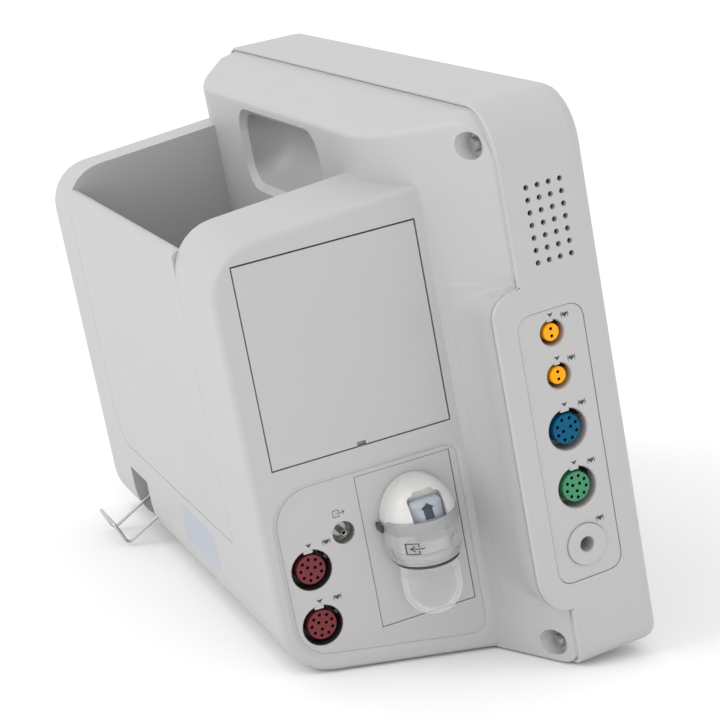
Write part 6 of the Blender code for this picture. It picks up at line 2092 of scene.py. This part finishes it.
    def build_cup(self) -> None:
        """Make the cup: egg-shaped rings, drawn in along a quarter ellipse towards a round foot.

        Each ring's across is half the width times cosine; its out is the fullest line plus sine times the
        front reach, or times the shorter back reach where the sine is negative. Each row of cup_rim is a
        height below the top and how far the ring is drawn in.
        """
        arc = np.linspace(0.0, np.pi / 2, self.cup_rings)
        foot = self.cup_top - self.cup_drop
        drop, bead = np.array(self.cup_rim).T
        draw = np.append(self.cup_floor_inset * (1.0 - np.sin(arc)), bead)
        height = np.append(foot + self.cup_round * (1.0 - np.cos(arc)), self.cup_top - drop)
        turn = np.linspace(0.0, 2 * np.pi, self.cup_points, endpoint=False)
        fullest = (self.cup_reach + self.cup_back) * self.cup_fullest
        front = (self.cup_reach - fullest - draw)[:, None]
        behind = (fullest - self.cup_back - draw * self.cup_back_draw)[:, None]
        out = fullest + np.where(np.sin(turn) > 0.0, front, behind) * np.sin(turn)
        across = (self.cup_width / 2 - draw)[:, None] * np.cos(turn)
        up = np.broadcast_to(height[:, None], out.shape)
        rows = np.stack((across, up, out), axis=-1)
        top = rows[-1:] + np.array((0.0, self.cup_rise, 0.0))
        grid = self.seat().world(np.concatenate((rows, top)))
        piece = Surface().tube(grid).settle("trap_bowl", [CLEAR], sharp=30.0)
        seated(piece, Body.TRAP, Slot.CLEAR, "trap_cup")


@dataclass
class CordBail:
    """The steel wire bail that holds a mains plug."""

    x: float = 0.090
    y: float = 0.1579
    z: float = 0.047
    wire: float = 0.00095
    spacing: float = 0.032
    leg: float = 0.0405
    hang: float = math.radians(28)
    yoke: float = 0.0145
    yoke_bend: float = math.radians(96)
    bend: float = 0.0025
    stub: float = 0.020
    sides: int = 18
    off_route: Triple = (0.31, 0.62, 0.72)

    def route(self) -> np.ndarray:
        """The wire's middle line: straight runs joined by quarter-like arcs, mirrored about its middle.

        Returns:
            Points along it.
        """
        half = self.spacing / 2
        corner = np.array((half, self.leg * math.cos(self.hang), -self.leg * math.sin(self.hang)))
        rise = self.yoke_bend - self.hang
        tip = corner + np.array((0.0, self.yoke * math.cos(rise), self.yoke * math.sin(rise)))
        right = np.array(((self.stub, 0.0, 0.0), (half, 0.0, 0.0), corner, tip))
        corners = np.concatenate((right, right[::-1] * (-1.0, 1.0, 1.0)))
        runs = zip(corners, corners[1:], corners[2:])
        bends = [bend_arc(before, here, after, self.bend) for before, here, after in runs]
        return np.concatenate((corners[:1], *bends, corners[-1:]))

    def build(self) -> None:
        """Carry a circle along the route, square to it; off_route is a direction that no run follows."""
        path = self.route()
        step = np.gradient(path, axis=0)
        ahead = step / np.linalg.norm(step, axis=1, keepdims=True)
        side = np.cross(ahead, np.array(self.off_route))
        side /= np.linalg.norm(side, axis=1, keepdims=True)
        other = np.cross(ahead, side)
        ring = circle(self.wire, self.sides)
        tube = path[:, None] + ring[None, :, :1] * side[:, None] + ring[None, :, 1:] * other[:, None]
        world = STANCE.world(tube + np.array((self.x, self.y, self.z)))
        seated(Surface().tube(world).settle("bail_wire", [STEEL]), Body.BAIL, Slot.STEEL, "cord_bail")


@dataclass
class RearMarks:
    """What is on the rear face: a blank plate of pale film."""

    rear_y: float = 0.1759
    label_x: float = -0.0336
    label_z: float = 0.05915
    width: float = 0.0598
    height: float = 0.0209
    corner: float = 0.0012
    ease: float = 0.0001
    thick: float = 0.00012
    root: float = 0.0002
    steps: int = 6

    def build(self) -> None:
        """Make the film: a round-cornered outline with an eased edge."""
        seat = rear_seat(self.label_x, self.rear_y, self.label_z)
        outline = rounded_rectangle(self.width, self.height, self.corner, self.steps)
        small = rounded_rectangle(self.width - self.ease, self.height - self.ease, self.corner, self.steps)
        rows = np.concatenate((layers(outline, -self.root, self.thick / 2), layers(small, self.thick)))
        film = Surface().tube(seat.world(rows))
        seated(film.settle("rating_film", [LABEL]), Body.MONITOR, Slot.GREY)


@dataclass
class Front:
    """The screen side: touch glass, alarm lamp, keys and the knurled knob."""

    glass_width: float = 0.362
    glass_foot: float = 0.045
    glass_head: float = 0.257
    glass_thick: float = 0.0019
    glass_corner: float = 0.006
    glass_ease: float = 0.0003
    glass_steps: int = 12
    picture_half: float = 0.172
    picture_foot: float = 0.054
    picture_head: float = 0.248
    lamp_edge: float = 0.0002
    key_edge: float = 0.00015
    keys: tuple[Body, ...] = (Body.POWER_KEY, Body.KEY_1, Body.KEY_2, Body.KEY_3, Body.KEY_4)
    knob_x: float = 0.140
    knob_z: float = 0.0225
    knob_radius: float = 0.016
    knob_height: float = 0.01195
    knob_edge: float = 0.002
    knob_dish: tuple[Pair, ...] = ((0.0, -0.0008), (0.45, -0.0007), (0.72, -0.0002), (0.8, 0.0))
    knob_lift: float = 0.0004
    knob_below_rim: float = 0.0005
    shaft: float = 0.003
    shaft_depth: float = 0.0062
    rim_points: int = 7
    side_rows: int = 6
    flutes: int = 30
    flute_points: int = 8
    flute_depth: float = 0.0005
    flute_from: Pair = (0.6, 0.4)

    def build(self) -> None:
        """Make the glass and the knob, and dress the lamp and the keys."""
        height = self.glass_head - self.glass_foot
        seat = Seat((0.0, 0.0, (self.glass_head + self.glass_foot) / 2))
        ease, corner = self.glass_ease, self.glass_corner
        outline = rounded_rectangle(self.glass_width, height, corner, self.glass_steps)
        sizes = (self.glass_width - 2 * ease, height - 2 * ease, corner - ease)
        small = rounded_rectangle(*sizes, self.glass_steps)
        rows = np.concatenate((layers(outline, -self.glass_thick, -ease), layers(small, 0.0)))
        low, high = self.picture_foot - STANCE.base_z, self.picture_head - STANCE.base_z
        pane = Pane("touch_pane", self.picture_half, low, high, STANCE.lean)
        piece = Surface().tube(seat.world(rows)).settle("touch_pane", [pane])
        seated(piece, Body.MONITOR, Slot.GLASS, "touch_glass")
        self.build_knob()
        seated(moulding("alarm_lamp", AMBER, self.lamp_edge), Body.MONITOR, Slot.AMBER, "alarm_lamp")
        for key in self.keys:
            seated(moulding(key.value, GREY, self.key_edge), key, Slot.GREY, key.value)

    def build_knob(self) -> None:
        """Turn the knob, its radius waved round its side by a cosine for the flutes, its top dished.

        Each row of knob_dish is a share of the radius and a height from the top. The flutes start where
        flute_from says, in shares of the rounded edge.
        """
        seat = Seat((self.knob_x, 0.0, self.knob_z))
        top, radius, edge = self.knob_height, self.knob_radius, self.knob_edge
        dish = np.array(self.knob_dish) * (radius, 1.0) + (0.0, top)
        rim = rolled(radius, top, edge, self.rim_points)
        side_z = np.linspace(top - edge - self.knob_below_rim, edge, self.side_rows)
        side = np.stack((np.full_like(side_z, radius), side_z), axis=-1)
        lift, shaft, deep = self.knob_lift, self.shaft, self.shaft_depth
        foot = np.array(((radius - edge, lift), (shaft, lift), (shaft, -deep), (0.0, -deep)))
        profile = np.concatenate((dish, rim, side, foot))
        grid = turned(profile, self.flutes * self.flute_points)
        angle = np.arctan2(grid[..., 1], grid[..., 0])
        inward, down = self.flute_from
        fluted = (profile[:, 0] > radius - edge * inward) & (profile[:, 1] < top - edge * down)
        wave = (fluted * self.flute_depth)[:, None] * (0.5 - 0.5 * np.cos(self.flutes * angle))
        grid[..., :2] *= 1.0 - wave[..., None] / radius
        piece = Surface().grid(seat.world(grid)).settle("knurled_knob", [GREY], sharp=40.0)
        seated(piece, Body.KNOB, Slot.GREY, "rotary_knob")


@dataclass
class Inside:
    """The nodes that keep their own shape, and the finish of each."""

    finishes: dict[str, Finish] = field(
        default_factory=lambda: {
            "lcd_panel": ROLLED,
            "key_board": BOARD,
            "chassis_plate": ROLLED,
            "main_board": BOARD,
            "parameter_board": BOARD,
            "speaker": DARK,
            "door_hinge_pin": TURNED,
            "battery_cradle": GREY,
            "battery_pack": DARK,
            "co2_module": ROLLED,
            "power_supply": ROLLED,
            "nibp_pump": GREY,
            "ac_inlet": DARK,
            "mount_plate": ROLLED,
        }
    )
    feet: int = 4
    screws: int = 4

    def build(self) -> None:
        """Give each node's object its finish."""
        wear = dict(self.finishes)
        wear |= {f"foot_{number + 1}": RUBBER for number in range(self.feet)}
        wear |= {f"case_screw_{number + 1}": ZINC for number in range(self.screws)}
        for node, finish in wear.items():
            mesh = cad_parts[node].data
            mesh.materials.clear()
            mesh.materials.append(finish.material())
            LOG.info("node %s in %s", node, finish.name)


@dataclass
class Studio:
    """A pale floor, soft lights and the camera at the photograph's place."""

    floor_half: float = 14.0
    floor_points: int = 9
    floor_paint: Moulded = Moulded("floor_paint", (0.97, 0.97, 0.97), 0.7, 300.0, 0.00001, 0.01)
    camera: Triple = (-1.0733, 0.3725, 0.3760)
    right: Triple = (-0.35300, -0.93555, -0.01172)
    down: Triple = (-0.20482, 0.08949, -0.97470)
    ahead: Triple = (0.91293, -0.34167, -0.22321)
    lens: float = 107.9
    sensor: float = 36.0
    far_end: float = 60.0
    target: Triple = (0.0, 0.0, 0.12)
    lights: tuple[tuple[str, Triple, float, float], ...] = (
        ("side_light", (-1.3, 0.5, 1.7), 0.12, 1.0),
        ("low_light", (-1.5, -0.1, 0.22), 0.7, 1.6),
        ("rear_light", (-0.5, 1.8, 0.25), 0.7, 2.2),
        ("top_light", (-0.1, 0.6, 1.6), 0.6, 1.6),
    )
    sun_power: float = 0.68
    sun_angle: float = math.radians(34)
    sun_way: Triple = (-0.02, -0.80, -0.58)

    def build(self) -> None:
        """Make the floor, the camera, the lights and the plain surroundings."""
        self.build_floor()
        self.build_camera()
        for name, place, size, power in self.lights:
            self.light(name, place, size, power)
        sun = bpy.data.lights.new("key_light", "SUN")
        sun.energy = self.sun_power
        sun.angle = self.sun_angle
        key = bpy.data.objects.new("key_light", sun)
        key.rotation_euler = Vector(self.sun_way).to_track_quat("-Z", "Y").to_euler()
        bpy.context.scene.collection.objects.link(key)
        world = bpy.data.worlds.new("studio")
        world.use_nodes = True
        shade = world.node_tree.nodes["Background"]
        shade.inputs["Color"].default_value = (1.0, 1.0, 1.0, 1.0)
        shade.inputs["Strength"].default_value = 1.0
        bpy.context.scene.world = world
        bpy.context.scene.view_settings.view_transform = "Standard"

    def build_floor(self) -> None:
        """Make the floor: a flat grid of evenly spaced points."""
        side = np.linspace(-self.floor_half, self.floor_half, self.floor_points)
        across, along = np.meshgrid(side, side, indexing="ij")
        grid = np.stack((across, along, np.zeros_like(across)), axis=-1)
        floor = Surface().grid(grid, wrap=False).settle("floor", [self.floor_paint])
        floor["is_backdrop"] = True

    def build_camera(self) -> None:
        """Set up the camera from its axes."""
        lens = bpy.data.cameras.new("portrait")
        lens.lens = self.lens
        lens.sensor_width = self.sensor
        lens.clip_end = self.far_end
        view = bpy.data.objects.new("portrait", lens)
        axes = (Vector(self.right), -Vector(self.down), -Vector(self.ahead))
        turn = Matrix(axes).transposed().to_4x4()
        view.matrix_world = Matrix.Translation(self.camera) @ turn
        bpy.context.scene.collection.objects.link(view)
        bpy.context.scene.camera = view

    def light(self, name: str, place: Triple, size: float, power: float) -> None:
        """Hang one square soft light that looks at the object.

        Args:
            name: the light's name.
            place: where it hangs.
            size: its side.
            power: its power in watts.
        """
        lamp = bpy.data.lights.new(name, "AREA")
        lamp.size = size
        lamp.energy = power
        item = bpy.data.objects.new(name, lamp)
        toward = Vector(self.target) - Vector(place)
        item.rotation_euler = toward.to_track_quat("-Z", "Y").to_euler()
        item.location = place
        bpy.context.scene.collection.objects.link(item)


def write_sizes() -> None:
    """Work out the solids' box and the dressed model's box; they are not written anywhere."""
    boxes = {"cad": CAD_BOX, "visual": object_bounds()}
    plain = {name: [[float(value) for value in corner] for corner in box] for name, box in boxes.items()}


def main() -> None:
    """Build the sub-assemblies in order, then the studio."""
    logging.basicConfig(level=logging.INFO, format="%(message)s")
    assemblies = (
        Studio(),
        Housing(),
        RearRim(),
        Grille(),
        Sockets(),
        CuffSocket(),
        GasOutlet(),
        WaterTrap(),
        CordBail(),
        RearMarks(),
        Front(),
        Inside(),
    )
    for assembly in assemblies:
        LOG.info("building %s", type(assembly).__name__)
        assembly.build()
    write_sizes()


if __name__ == "__main__":
    main()
